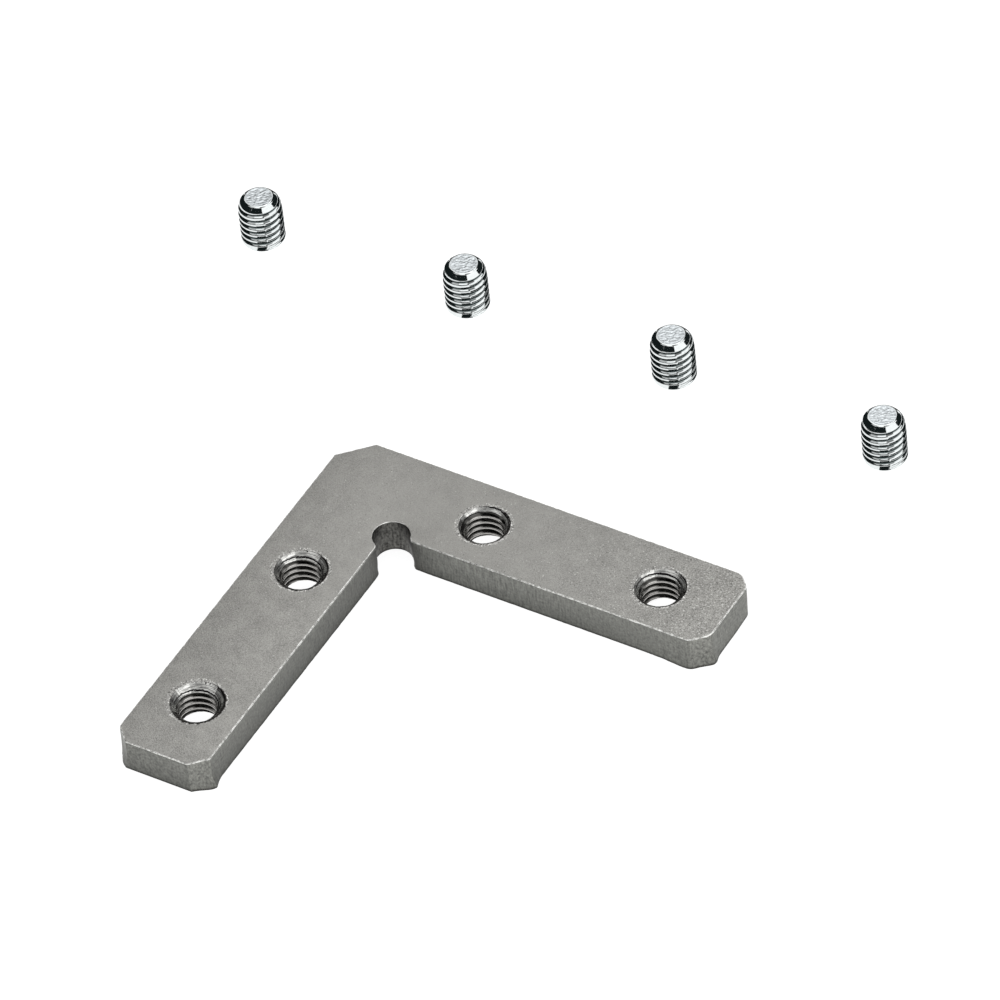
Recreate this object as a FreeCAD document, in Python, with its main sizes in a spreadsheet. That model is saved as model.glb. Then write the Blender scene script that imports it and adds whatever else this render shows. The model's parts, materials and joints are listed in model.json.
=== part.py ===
import FreeCAD, Part
import math
import os

import Sketcher

# Horizontal corner connector: an L-shaped steel plate with tapped holes and its set screws.
# Units are millimetres. The origin is where the centre lines of the two arms cross, on the
# underside of the plate. One arm runs along +X, the other along -Y, and +Z is up.

# Driving dimensions: alias, value, what it sizes.
DIMENSIONS = (
    ("arm_length", 60.0, "outer corner to the end of either arm"),
    ("arm_width", 13.4, "width of either arm"),
    ("plate_thickness", 5.0, "thickness of the plate"),
    ("corner_bevel", 4.0, "leg of the bevel on the outer corner"),
    ("end_bevel", 2.1, "leg of the bevels at the arm ends"),
    ("soft_end_radius", 1.5, "rounding of the right arm's inner end bevel"),
    ("relief_diameter", 5.0, "round relief cut in the inner corner"),
    ("relief_offset_x", 0.75, "relief centre beyond the inner corner, along X"),
    ("relief_offset_y", 0.2, "relief centre beyond the inner corner, along -Y"),
    ("relief_mouth_radius", 0.5, "rounding where the relief meets the inner edges"),
    ("edge_break", 0.2, "leg of the bevel along the rims of both faces"),
    ("first_hole", 24.0, "outer corner to the nearer hole of an arm"),
    ("hole_spacing", 26.0, "distance between the two holes of an arm"),
    ("thread_diameter", 6.0, "nominal thread of the holes and the screws"),
    ("thread_pitch", 1.0, "pitch of that thread"),
    ("top_countersink_margin", 0.45, "width of the upper countersinks outside the thread"),
    ("under_countersink_margin", 0.03, "width of the lower countersinks outside the thread"),
    ("screw_length", 8.0, "length of a set screw"),
    ("point_bevel", 1.06, "leg of the bevel round the screw's flat point"),
    ("socket_end_bevel", 0.85, "leg of the bevel round the screw's socket end"),
    ("socket_flats", 3.0, "hexagon socket, across flats"),
    ("socket_depth", 3.5, "depth of the hexagon socket"),
    ("socket_mouth_margin", 0.12, "mouth of the socket outside its corners"),
    ("socket_cone_angle", 120.0, "degrees, angle of the socket's mouth and drilled tip"),
    ("screw_1_x", -38.6, "where the first screw stands, along X"),
    ("screw_2_x", -7.6, "where the second screw stands, along X"),
    ("screw_3_x", 23.6, "where the third screw stands, along X"),
    ("screw_4_x", 55.6, "where the fourth screw stands, along X"),
    ("screw_1_gap", 30.8, "plate's outer edge to the first screw's axis"),
    ("screw_2_gap", 31.5, "plate's outer edge to the second screw's axis"),
    ("screw_3_gap", 31.6, "plate's outer edge to the third screw's axis"),
    ("screw_4_gap", 30.4, "plate's outer edge to the fourth screw's axis"),
)
# Worked out from the driving dimensions: alias, formula, what it is.
DERIVED = (
    ("half_width", "=arm_width / 2", "arm centre line to either side of the arm"),
    ("arm_reach", "=arm_length - half_width", "origin to the end of an arm"),
    ("hole_near", "=first_hole - half_width", "origin to the nearer hole"),
    ("hole_far", "=hole_near + hole_spacing", "origin to the farther hole"),
    ("relief_radius", "=relief_diameter / 2", "radius of the relief"),
    ("relief_x", "=half_width + relief_offset_x", "origin to the relief's centre, along X"),
    ("relief_y", "=half_width + relief_offset_y", "origin to the relief's centre, along -Y"),
    ("bore_diameter", "=thread_diameter - thread_pitch", "tapping drill of the holes"),
    ("half_pitch", "=thread_pitch / 2", "tapping hole's wall to the thread's outside"),
    ("top_countersink", "=half_pitch + top_countersink_margin", "leg of the upper countersinks"),
    ("under_countersink", "=half_pitch + under_countersink_margin", "leg of the lower ones"),
    ("crest_radius", "=thread_diameter / 2", "outside of the screw's thread"),
    ("point_radius", "=crest_radius - point_bevel", "radius of the flat point"),
    ("socket_inradius", "=socket_flats / 2", "socket's centre to its flats"),
    ("socket_corner", "=socket_inradius / cos(30 deg)", "socket's centre to its corners"),
    ("socket_mouth", "=socket_corner + socket_mouth_margin", "radius of the socket's mouth"),
    ("socket_slope", "=1 / tan(socket_cone_angle * 1 deg / 2)", "rise of the cones over their radius"),
)
SCREW_COUNT = 4
HEXAGON_SIDES = 6
FULL_TURN = 360.0
# How close an edge has to lie to the place where it is looked up.
NEAR = 0.01


def vector(x, y, z=0.0):
    return FreeCAD.Vector(x, y, z)


def fill_sheet(doc):
    """The spreadsheet that holds every size, one row each: name, value and meaning."""
    sheet = doc.addObject("Spreadsheet::Sheet", "sheet")
    for row, (alias, value, meaning) in enumerate(DIMENSIONS + DERIVED, start=1):
        sheet.set(f"A{row}", alias)
        sheet.set(f"B{row}", str(value))
        sheet.set(f"C{row}", meaning)
        sheet.setAlias(f"B{row}", alias)
    doc.recompute()
    return sheet


def new_body(doc, label):
    body = doc.addObject("PartDesign::Body", label)
    body.Label = label
    return body


def new_sketch(body, name, plane):
    """A sketch on one of the body's own origin planes."""
    sketch = body.newObject("Sketcher::SketchObject", name)
    support = next(item for item in body.Origin.OriginFeatures if item.Role == plane)
    sketch.AttachmentSupport = [(support, "")]
    sketch.MapMode = "FlatFace"
    return sketch


def closed_outline(sketch, corners):
    """Straight lines from corner to corner and back, joined end to end; returns their numbers."""
    lines = []
    for start, end in zip(corners, corners[1:] + corners[:1]):
        lines.append(sketch.addGeometry(Part.LineSegment(vector(*start), vector(*end)), False))
    for line, following in zip(lines, lines[1:] + lines[:1]):
        sketch.addConstraint(Sketcher.Constraint("Coincident", line, 2, following, 1))
    return lines


def new_circle(sketch, x, y, radius, guide=False):
    return sketch.addGeometry(Part.Circle(vector(x, y), vector(0, 0, 1), radius), guide)


def set_lines(sketch, direction, lines):
    """Hold lines horizontal or vertical."""
    for line in lines:
        sketch.addConstraint(Sketcher.Constraint(direction, line))


def dimension(sketch, name, kind, place, formula):
    """A named sketch dimension that follows a formula of the sheet's values."""
    index = sketch.addConstraint(Sketcher.Constraint(kind, *place, 1.0))
    sketch.renameConstraint(index, name)
    sketch.setExpression(f"Constraints.{name}", formula)


def from_sketch(body, kind, name, sketch):
    """A feature of the body that is made from a sketch."""
    item = body.newObject(kind, name)
    item.Profile = sketch
    return item


def turned(body, kind, name, sketch):
    """A half section turned once round the body's own axis, added or cut away."""
    item = from_sketch(body, kind, name, sketch)
    item.ReferenceAxis = (sketch, ["V_Axis"])
    item.Angle = FULL_TURN
    return item


def dress(body, kind, name, edges, size, formula):
    """A chamfer or a fillet on edges of the body as it stands."""
    base = body.Tip
    item = body.newObject(kind, name)
    item.Base = (base, edges)
    item.setExpression(size, formula)
    body.Document.recompute()
    return item


def upright_edges(shape, places):
    """Names of the straight vertical edges that stand at the given X, Y places."""
    names = []
    for number, edge in enumerate(shape.Edges, start=1):
        box = edge.BoundBox
        if box.XLength > NEAR or box.YLength > NEAR:
            continue
        if any(math.hypot(box.Center.x - x, box.Center.y - y) < NEAR for x, y in places):
            names.append(f"Edge{number}")
    return names


def level_edges(shape, height):
    """Names of the edges that lie flat at a height."""
    names = []
    for number, edge in enumerate(shape.Edges, start=1):
        box = edge.BoundBox
        if box.ZLength < NEAR and abs(box.ZMin - height) < NEAR:
            names.append(f"Edge{number}")
    return names


def bore_rims(shape, height, radius):
    """Names of the whole circles of a radius that lie flat at a height."""
    names = []
    for name in level_edges(shape, height):
        edge = shape.getElement(name)
        if edge.isClosed() and abs(edge.Curve.Radius - radius) < NEAR:
            names.append(name)
    return names


def sketch_outline(body, sheet):
    """The sharp L of the plate, seen from above, before its corners are bevelled."""
    sketch = new_sketch(body, "outline", "XY_Plane")
    side = sheet.half_width
    reach = sheet.arm_reach
    corners = [(-side, side), (reach, side), (reach, -side), (side, -side), (side, -reach), (-side, -reach)]
    outer, right_end, right_inner, left_inner, left_end, left_outer = closed_outline(sketch, corners)
    set_lines(sketch, "Horizontal", (outer, right_inner, left_end))
    set_lines(sketch, "Vertical", (right_end, left_inner, left_outer))
    dimension(sketch, "outer_edge", "DistanceY", (-1, 1, outer, 1), "sheet.half_width")
    dimension(sketch, "left_edge", "DistanceX", (outer, 1, -1, 1), "sheet.half_width")
    dimension(sketch, "right_reach", "DistanceX", (-1, 1, right_end, 1), "sheet.arm_reach")
    dimension(sketch, "right_inner_edge", "DistanceY", (right_inner, 1, -1, 1), "sheet.half_width")
    dimension(sketch, "left_inner_edge", "DistanceX", (-1, 1, left_inner, 1), "sheet.half_width")
    dimension(sketch, "left_reach", "DistanceY", (left_end, 1, -1, 1), "sheet.arm_reach")
    return sketch


def sketch_relief(body, sheet):
    """The round relief in the inner corner, where the corner of the frame's slots would catch."""
    sketch = new_sketch(body, "relief_outline", "XY_Plane")
    circle = new_circle(sketch, sheet.relief_x, -sheet.relief_y, sheet.relief_radius)
    dimension(sketch, "radius", "Radius", (circle,), "sheet.relief_radius")
    dimension(sketch, "across", "DistanceX", (-1, 1, circle, 3), "sheet.relief_x")
    dimension(sketch, "down", "DistanceY", (circle, 3, -1, 1), "sheet.relief_y")
    return sketch


def sketch_holes(body, sheet):
    """Four circles on the top face, two on the centre line of each arm."""
    sketch = new_sketch(body, "hole_places", "XY_Plane")
    sketch.setExpression("AttachmentOffset.Base.z", "sheet.plate_thickness")
    radius = sheet.bore_diameter / 2
    for place in ("hole_near", "hole_far"):
        distance = getattr(sheet, place)
        right = new_circle(sketch, distance, 0, radius)
        left = new_circle(sketch, 0, -distance, radius)
        sketch.addConstraint(Sketcher.Constraint("PointOnObject", right, 3, -1))
        sketch.addConstraint(Sketcher.Constraint("PointOnObject", left, 3, -2))
        dimension(sketch, f"right_{place}", "DistanceX", (-1, 1, right, 3), f"sheet.{place}")
        dimension(sketch, f"left_{place}", "DistanceY", (left, 3, -1, 1), f"sheet.{place}")
        for name, circle in (("right", right), ("left", left)):
            dimension(sketch, f"{name}_{place}_bore", "Diameter", (circle,), "sheet.bore_diameter")
    return sketch


def bevel_corners(body, sheet):
    """Bevels on the outer corner and the four arm ends, one of them softened."""
    side = sheet.half_width
    reach = sheet.arm_reach
    outer_corner = upright_edges(body.Shape, [(-side, side)])
    dress(body, "PartDesign::Chamfer", "outer_corner", outer_corner, "Size", "sheet.corner_bevel")
    ends = upright_edges(body.Shape, [(reach, side), (reach, -side), (side, -reach), (-side, -reach)])
    dress(body, "PartDesign::Chamfer", "arm_ends", ends, "Size", "sheet.end_bevel")
    bevel = sheet.end_bevel
    soft = upright_edges(body.Shape, [(reach - bevel, -side), (reach, bevel - side)])
    dress(body, "PartDesign::Fillet", "soft_end", soft, "Radius", "sheet.soft_end_radius")


def cut_relief(body, sheet):
    """The relief, and rounding where its wall runs out into the two inner edges."""
    relief = from_sketch(body, "PartDesign::Pocket", "relief", sketch_relief(body, sheet))
    relief.Type = "ThroughAll"
    relief.Reversed = True
    body.Document.recompute()
    right = sheet.relief_x + math.sqrt(sheet.relief_radius ** 2 - sheet.relief_offset_y ** 2)
    down = sheet.relief_y + math.sqrt(sheet.relief_radius ** 2 - sheet.relief_offset_x ** 2)
    mouth = upright_edges(body.Shape, [(right, -sheet.half_width), (sheet.half_width, -down)])
    dress(body, "PartDesign::Fillet", "relief_mouth", mouth, "Radius", "sheet.relief_mouth_radius")


def tap_holes(body, sheet):
    """The four through holes at tapping size, countersunk deeper above than below."""
    holes = from_sketch(body, "PartDesign::Hole", "tapped_holes", sketch_holes(body, sheet))
    body.Document.recompute()
    holes.DepthType = "ThroughAll"
    holes.setExpression("Diameter", "sheet.bore_diameter")
    body.Document.recompute()
    radius = sheet.bore_diameter / 2
    upper = bore_rims(body.Shape, sheet.plate_thickness, radius)
    dress(body, "PartDesign::Chamfer", "upper_countersinks", upper, "Size", "sheet.top_countersink")
    lower = bore_rims(body.Shape, 0, radius)
    dress(body, "PartDesign::Chamfer", "lower_countersinks", lower, "Size", "sheet.under_countersink")


def build_corner_plate(doc, sheet):
    """The L-shaped plate: blank, bevelled corners, broken rims, relief, tapped holes."""
    body = new_body(doc, "corner_plate")
    blank = from_sketch(body, "PartDesign::Pad", "blank", sketch_outline(body, sheet))
    blank.setExpression("Length", "sheet.plate_thickness")
    doc.recompute()
    bevel_corners(body, sheet)
    rims = level_edges(body.Shape, 0) + level_edges(body.Shape, sheet.plate_thickness)
    dress(body, "PartDesign::Chamfer", "broken_rims", rims, "Size", "sheet.edge_break")
    cut_relief(body, sheet)
    tap_holes(body, sheet)
    return body


def sketch_shank(body, sheet):
    """Half section of a set screw: socket end below, flat point above."""
    sketch = new_sketch(body, "half_section", "XZ_Plane")
    crest = sheet.crest_radius
    end = sheet.socket_end_bevel
    tall = sheet.screw_length
    point = sheet.point_radius
    shoulder = tall - sheet.point_bevel
    corners = [(0, 0), (crest - end, 0), (crest, end), (crest, shoulder), (point, tall), (0, tall)]
    face, end_bevel, flank, point_bevel, flat, axis = closed_outline(sketch, corners)
    set_lines(sketch, "Horizontal", (face, flat))
    set_lines(sketch, "Vertical", (flank, axis))
    sketch.addConstraint(Sketcher.Constraint("Coincident", face, 1, -1, 1))
    dimension(sketch, "crest", "DistanceX", (-1, 1, flank, 1), "sheet.crest_radius")
    dimension(sketch, "end_width", "DistanceX", (end_bevel, 1, end_bevel, 2), "sheet.socket_end_bevel")
    dimension(sketch, "end_rise", "DistanceY", (end_bevel, 1, end_bevel, 2), "sheet.socket_end_bevel")
    dimension(sketch, "tall", "DistanceY", (-1, 1, flat, 1), "sheet.screw_length")
    dimension(sketch, "point_width", "DistanceX", (point_bevel, 2, point_bevel, 1), "sheet.point_bevel")
    dimension(sketch, "point_rise", "DistanceY", (point_bevel, 1, point_bevel, 2), "sheet.point_bevel")
    return sketch


def sketch_socket(body, sheet):
    """The socket's hexagon, its corners on a guide circle and its flats across Y."""
    sketch = new_sketch(body, "hexagon", "XY_Plane")
    reach = sheet.socket_corner
    corners = []
    for number in range(HEXAGON_SIDES):
        angle = math.radians(FULL_TURN * number / HEXAGON_SIDES)
        corners.append((reach * math.cos(angle), reach * math.sin(angle)))
    sides = closed_outline(sketch, corners)
    guide = new_circle(sketch, 0, 0, reach, guide=True)
    sketch.addConstraint(Sketcher.Constraint("Coincident", guide, 3, -1, 1))
    for side in sides:
        sketch.addConstraint(Sketcher.Constraint("PointOnObject", side, 1, guide))
    for side in sides[1:]:
        sketch.addConstraint(Sketcher.Constraint("Equal", sides[0], side))
    sketch.addConstraint(Sketcher.Constraint("PointOnObject", sides[0], 1, -1))
    dimension(sketch, "corners", "Radius", (guide,), "sheet.socket_corner")
    return sketch


def sketch_cone(body, name, sheet, level, radius):
    """Right triangle on the axis: a cone that stands at a level and narrows upwards."""
    sketch = new_sketch(body, name, "XZ_Plane")
    low = getattr(sheet, level) if level else 0.0
    width = getattr(sheet, radius)
    rise = width * sheet.socket_slope
    base, slope, axis = closed_outline(sketch, [(0, low), (width, low), (0, low + rise)])
    set_lines(sketch, "Horizontal", (base,))
    set_lines(sketch, "Vertical", (axis,))
    if level:
        sketch.addConstraint(Sketcher.Constraint("PointOnObject", base, 1, -2))
        dimension(sketch, "level", "DistanceY", (-1, 1, base, 1), f"sheet.{level}")
    else:
        sketch.addConstraint(Sketcher.Constraint("Coincident", base, 1, -1, 1))
    dimension(sketch, "radius", "DistanceX", (-1, 1, slope, 1), f"sheet.{radius}")
    dimension(sketch, "rise", "DistanceY", (slope, 1, slope, 2), f"sheet.{radius} * sheet.socket_slope")
    return sketch


def build_set_screw(doc, sheet, number):
    """One set screw, stood on its socket end: turned shank, then the hexagon socket."""
    body = new_body(doc, f"set_screw_{number}")
    turned(body, "PartDesign::Revolution", "shank", sketch_shank(body, sheet))
    socket = from_sketch(body, "PartDesign::Pocket", "socket", sketch_socket(body, sheet))
    socket.setExpression("Length", "sheet.socket_depth")
    socket.Reversed = True
    mouth = sketch_cone(body, "mouth_section", sheet, None, "socket_mouth")
    turned(body, "PartDesign::Groove", "socket_mouth", mouth)
    tip = sketch_cone(body, "tip_section", sheet, "socket_depth", "socket_inradius")
    turned(body, "PartDesign::Groove", "socket_tip", tip)
    body.setExpression("Placement.Base.x", f"sheet.screw_{number}_x")
    body.setExpression("Placement.Base.y", f"sheet.half_width + sheet.screw_{number}_gap")
    doc.recompute()
    return body


def check(doc, bodies):
    """Stop if any object failed or if a sub-part is not one valid solid."""
    for item in doc.Objects:
        if "Invalid" in item.State or "Error" in item.State:
            raise RuntimeError(f"{item.Label} failed to compute")
    for body in bodies:
        shape = body.Shape
        if shape.isNull() or not shape.isValid() or len(shape.Solids) != 1:
            raise RuntimeError(f"{body.Label} is not one valid solid")


def main():
    doc = FreeCAD.newDocument("corner_connector")
    sheet = fill_sheet(doc)
    bodies = [build_corner_plate(doc, sheet)]
    for number in range(1, SCREW_COUNT + 1):
        bodies.append(build_set_screw(doc, sheet, number))
    doc.recompute()
    check(doc, bodies)
    os.makedirs("parts", exist_ok=True)
    for body in bodies:
        body.Shape.exportStep(f"parts/{body.Label}.step")
        box = body.Shape.BoundBox
        print(f"{body.Label}: {body.Shape.Volume:.1f} mm3, "
              f"{box.XLength:.2f} x {box.YLength:.2f} x {box.ZLength:.2f} mm")


main()
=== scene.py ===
import json
import logging
import math
from dataclasses import dataclass, field
from enum import IntEnum
from typing import Any

import bpy
import numpy as np
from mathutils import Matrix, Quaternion, Vector
from mathutils.geometry import delaunay_2d_cdt


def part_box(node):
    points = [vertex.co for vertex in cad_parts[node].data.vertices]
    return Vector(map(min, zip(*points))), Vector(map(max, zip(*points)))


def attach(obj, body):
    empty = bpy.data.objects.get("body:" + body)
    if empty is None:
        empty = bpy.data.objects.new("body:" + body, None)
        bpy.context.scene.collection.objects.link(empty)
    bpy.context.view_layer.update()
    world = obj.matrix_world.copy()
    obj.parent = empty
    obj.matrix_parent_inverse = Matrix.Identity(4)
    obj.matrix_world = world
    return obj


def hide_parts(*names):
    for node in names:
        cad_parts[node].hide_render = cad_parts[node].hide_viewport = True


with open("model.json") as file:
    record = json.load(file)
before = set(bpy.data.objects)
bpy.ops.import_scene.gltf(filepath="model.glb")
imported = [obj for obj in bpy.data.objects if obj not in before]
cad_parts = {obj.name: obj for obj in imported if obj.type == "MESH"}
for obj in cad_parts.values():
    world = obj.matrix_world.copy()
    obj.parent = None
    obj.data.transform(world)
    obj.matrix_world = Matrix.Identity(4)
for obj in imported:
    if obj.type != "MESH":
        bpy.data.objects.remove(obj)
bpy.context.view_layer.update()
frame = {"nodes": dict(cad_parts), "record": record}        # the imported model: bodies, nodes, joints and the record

# Looks of the horizontal corner connector: the blasted steel plate with its tapped holes, and
# the four zinc plated set screws. Sizes are millimetres in the object's own frame; a mesh and
# a lamp get metres where they are made.

MM = 0.001
TURN = 2 * math.pi
WELD_STEP = 1e-4        # corners of faces closer than this, in millimetres, are one vertex
SHARP_ANGLE = math.radians(44)
RECORD = frame["record"]
SCREW_NODES = sorted(name for name in frame["nodes"] if name.startswith("set_screw"))
LOG = logging.getLogger("corner_connector")

Array = np.ndarray
Socket = bpy.types.NodeSocket
Material = bpy.types.Material
Colour = tuple[float, float, float]


class Zone(IntEnum):
    """The differently worked surfaces of the steel plate, in the order of its material slots."""

    FACE = 0
    WALL = 1
    RIM = 2
    RELIEF = 3
    CONE = 4
    THREAD = 5
    LIP = 6
    BEVEL = 7


class Part(IntEnum):
    """The differently worked surfaces of a set screw, in the order of its material slots."""

    SHANK = 0
    POINT = 1
    SOCKET = 2


@dataclass(frozen=True)
class Ripple:
    """Smooth unevenness that is the same every time: sine waves in seeded directions, added up.

    The sum has a spread of about one, whatever the number of waves.
    """

    seed: int
    shortest: float
    longest: float
    waves: int = 28

    def _lengths(self, draw: np.random.Generator) -> Array:
        """Wavelengths spread evenly over the logarithm from the longest to the shortest."""
        low, high = math.log(self.shortest), math.log(self.longest)
        return np.exp(draw.uniform(low, high, self.waves))

    def along(self, run: Array, period: float) -> Array:
        """Unevenness along a closed run: each wave goes a whole number of times into it.

        Args:
            run: Places along the run, in millimetres.
            period: Length of the whole run.

        Returns:
            One value for each place.
        """
        draw = np.random.default_rng(self.seed)
        counts = np.maximum(1, np.round(period / self._lengths(draw)))
        phases = draw.uniform(0, TURN, self.waves)
        waves = np.sin(TURN * counts * run[..., None] / period + phases)
        return waves.sum(-1) * math.sqrt(2 / self.waves)

    def over(self, x: Array, y: Array) -> Array:
        """Unevenness over a flat sheet, with waves in every direction.

        Args:
            x: First coordinate of each place, in millimetres.
            y: Second coordinate of each place.

        Returns:
            One value for each place.
        """
        draw = np.random.default_rng(self.seed)
        lengths = self._lengths(draw)
        angles = draw.uniform(0, TURN, self.waves)
        phases = draw.uniform(0, TURN, self.waves)
        ahead = x[..., None] * np.cos(angles) + y[..., None] * np.sin(angles)
        return np.sin(TURN * ahead / lengths + phases).sum(-1) * math.sqrt(2 / self.waves)


def linked(name: str, data: bpy.types.ID) -> bpy.types.Object:
    """Make an object and link it to the scene.

    Args:
        name: Its name.
        data: Its mesh, lamp or camera.

    Returns:
        The object.
    """
    made = bpy.data.objects.new(name, data)
    bpy.context.scene.collection.objects.link(made)
    return made


class Skin:
    """The faces of one closed piece, gathered as loose corners and then welded into a mesh."""

    def __init__(self) -> None:
        """Start with no faces."""
        self.corners: list[Array] = []
        self.charts: list[Array] = []
        self.zones: list[Array] = []
        self.depths: list[Array] = []

    @staticmethod
    def _cells(values: Array, turned: bool) -> Array:
        """The four corner values of each cell of a grid, in order round the cell.

        Args:
            values: Rows x columns of values.
            turned: Whether the order is reversed, so that the faces look to the other side.

        Returns:
            Cells with their four values.
        """
        cells = [values[:-1, :-1], values[:-1, 1:], values[1:, 1:], values[1:, :-1]]
        if turned:
            cells.reverse()
        return np.stack(cells, axis=2)

    def add_grid(self, points: Array, chart: Array, zone: Array | int, depth: Array | None = None,
                 turned: bool = False) -> None:
        """Add a surface given on a grid of rows and columns.

        Rows by columns, a face looks to the side that (column direction) x (row direction)
        points to, or to the other side where it is turned.

        Args:
            points: Rows x columns x 3 places, in millimetres.
            chart: Rows x columns x 2 pattern coordinates, in millimetres along the surface.
            zone: How the surface is worked, for the whole grid or for each cell.
            depth: Painted shade at each place, from 0 to 1, which in a thread is how far down it lies; below nothing,
                a painted highlight.
            turned: Whether the faces look to the other side.
        """
        cells = self._cells(points, turned)
        count = cells.shape[0] * cells.shape[1]
        deep = np.zeros(points.shape[:2]) if depth is None else depth
        self.corners.append(cells.reshape(count, 4, 3))
        self.charts.append(self._cells(chart, turned).reshape(count, 4, 2))
        self.depths.append(self._cells(deep, turned).reshape(count, 4))
        self.zones.append(np.broadcast_to(zone, cells.shape[:2]).reshape(count))

    def add_flat(self, loops: list[Array], level: float, zone: int, upwards: bool) -> None:
        """Add a level face between an outline and the holes in it, as triangles.

        Args:
            loops: The outline's points, then each hole's, as arrays of x and y.
            level: Height of the face.
            zone: How the face is worked.
            upwards: Whether it looks up rather than down.
        """
        places = np.concatenate(loops)
        starts = np.cumsum([0] + [len(loop) for loop in loops])
        edges = []
        for start, loop in zip(starts, loops):
            ring = start + np.arange(len(loop))
            edges.extend(zip(ring.tolist(), np.roll(ring, -1).tolist()))
        vectors = [Vector(place) for place in places.tolist()]
        found = delaunay_2d_cdt(vectors, edges, [], 2, 1e-7)
        flat = places[[origins[0] for origins in found[3]]]
        triangles = np.array([face for face in found[2] if len(face) == 3])
        inside = self._inside(flat[triangles].mean(axis=1), loops)
        triangles = triangles[inside]
        first, second, third = (flat[triangles[:, k]] for k in range(3))
        turn = np.cross(second - first, third - first)
        triangles[turn < 0] = triangles[turn < 0][:, ::-1]
        if not upwards:
            triangles = triangles[:, ::-1]
        corners = np.full((len(triangles), 4, 3), level)
        corners[:, :3, :2] = flat[triangles]
        corners[:, 3] = corners[:, 2]
        self.corners.append(corners)
        self.charts.append(corners[:, :, :2].copy())
        self.depths.append(np.zeros(corners.shape[:2]))
        self.zones.append(np.full(len(corners), zone))

    @staticmethod
    def _inside(places: Array, loops: list[Array]) -> Array:
        """Whether each place lies inside the outline and outside every hole, by crossings.

        Args:
            places: Places to test, as x and y.
            loops: The outline and the holes.

        Returns:
            One truth value for each place.
        """
        crossings = np.zeros(len(places), int)
        for loop in loops:
            following = np.roll(loop, -1, axis=0)
            above = (loop[None, :, 1] > places[:, None, 1]) != (following[None, :, 1] > places[:, None, 1])
            rise = following[:, 1] - loop[:, 1]
            rise = np.where(np.abs(rise) < 1e-12, 1e-12, rise)
            share = (places[:, None, 1] - loop[None, :, 1]) / rise
            cross = loop[None, :, 0] + share * (following[:, 0] - loop[:, 0])[None, :]
            crossings += (above & (places[:, None, 0] < cross)).sum(1)
        return crossings % 2 == 1

    def piece(self, name: str, finishes: list[Material], level_zone: int = -1) -> bpy.types.Object:
        """Weld the corners and make the object, its place in its mesh.

        Corners at the same place become one vertex. A face with two corners in one place
        becomes a triangle, and one with fewer than three places is left out.

        Args:
            name: Name of the piece.
            finishes: Its materials, in the order of its zones.
            level_zone: The zone whose faces are truly flat, and shade so.

        Returns:
            The object, linked to the scene.
        """
        corners = np.concatenate(self.corners)
        charts = np.concatenate(self.charts)
        depths = np.concatenate(self.depths)
        zones = np.concatenate(self.zones)
        steps = np.round(corners.reshape(-1, 3) / WELD_STEP).astype(np.int64)
        _, first, number = np.unique(steps, axis=0, return_index=True, return_inverse=True)
        places = corners.reshape(-1, 3)[first]
        faces = number.reshape(-1, 4)
        same = faces == np.roll(faces, -1, axis=1)
        whole = np.flatnonzero(same.sum(1) == 0)
        halved = np.flatnonzero(same.sum(1) == 1)
        order = (np.argmax(same[halved], axis=1)[:, None] + np.arange(1, 4)) % 4
        rows = halved[:, None]
        proper = faces[rows, order]
        kept = proper[:, 0] != proper[:, 2]
        rows, order, halved = rows[kept], order[kept], halved[kept]
        mesh = bpy.data.meshes.new(name)
        mesh.vertices.add(len(places))
        mesh.vertices.foreach_set("co", (places * MM).astype(np.float32).ravel())
        loops = np.concatenate([faces[whole].ravel(), faces[rows, order].ravel()])
        mesh.loops.add(len(loops))
        mesh.loops.foreach_set("vertex_index", loops.astype(np.int32))
        mesh.polygons.add(len(whole) + len(halved))
        starts = np.concatenate([4 * np.arange(len(whole)), 4 * len(whole) + 3 * np.arange(len(halved))])
        mesh.polygons.foreach_set("loop_start", starts.astype(np.int32))
        kinds = np.concatenate([zones[whole], zones[halved]])
        mesh.polygons.foreach_set("material_index", kinds.astype(np.int32))
        mesh.polygons.foreach_set("use_smooth", kinds != level_zone)
        for finish in finishes:
            mesh.materials.append(finish)
        flat = np.concatenate([charts[whole].reshape(-1, 2), charts[rows, order].reshape(-1, 2)])
        mesh.uv_layers.new(name="chart").data.foreach_set("uv", (flat * MM).astype(np.float32).ravel())
        # The depth attribute carries painted shade, and below nothing a painted highlight, for the materials.
        deep = mesh.attributes.new("depth", "FLOAT", "CORNER")
        sunk = np.concatenate([depths[whole].ravel(), depths[rows, order].ravel()])
        deep.data.foreach_set("value", sunk.astype(np.float32))
        mesh.update(calc_edges=True)
        mesh.set_sharp_from_angle(angle=SHARP_ANGLE)
        made = linked(name, mesh)
        LOG.info("%s: %d vertices, %d faces", name, len(mesh.vertices), len(mesh.polygons))
        return made


def softly(first: Array, second: Array | float, ease: Array | float, sign: int = 1) -> Array:
    """The larger or the smaller of two values, with a rounded turn between the two.

    It is half of: their sum, plus or minus the root of their difference squared plus the ease
    squared.

    Args:
        first: One value.
        second: The other.
        ease: How far the turn is rounded.
        sign: 1 for the larger, -1 for the smaller.

    Returns:
        The eased value.
    """
    return (first + second + sign * np.sqrt((first - second) ** 2 + ease ** 2)) / 2


def clear_of_ends(height: Array, top: float, reach: float) -> Array:
    """From 0 at the lowest and the top level to 1 at a reach from both, or further."""
    return np.clip(height / reach, 0, 1) * np.clip((top - height) / reach, 0, 1)


def fading(distance: Array, strength: float, reach: float) -> Array:
    """A strength that falls off exponentially over a reach."""
    return strength * np.exp(-distance / reach)


def towards(angle: Array, side: float, base: float, swing: float) -> Array:
    """A strength from 0 to 1 that is greatest on one side of an axis."""
    return np.clip(base + swing * np.cos(angle - side), 0, 1)


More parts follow.
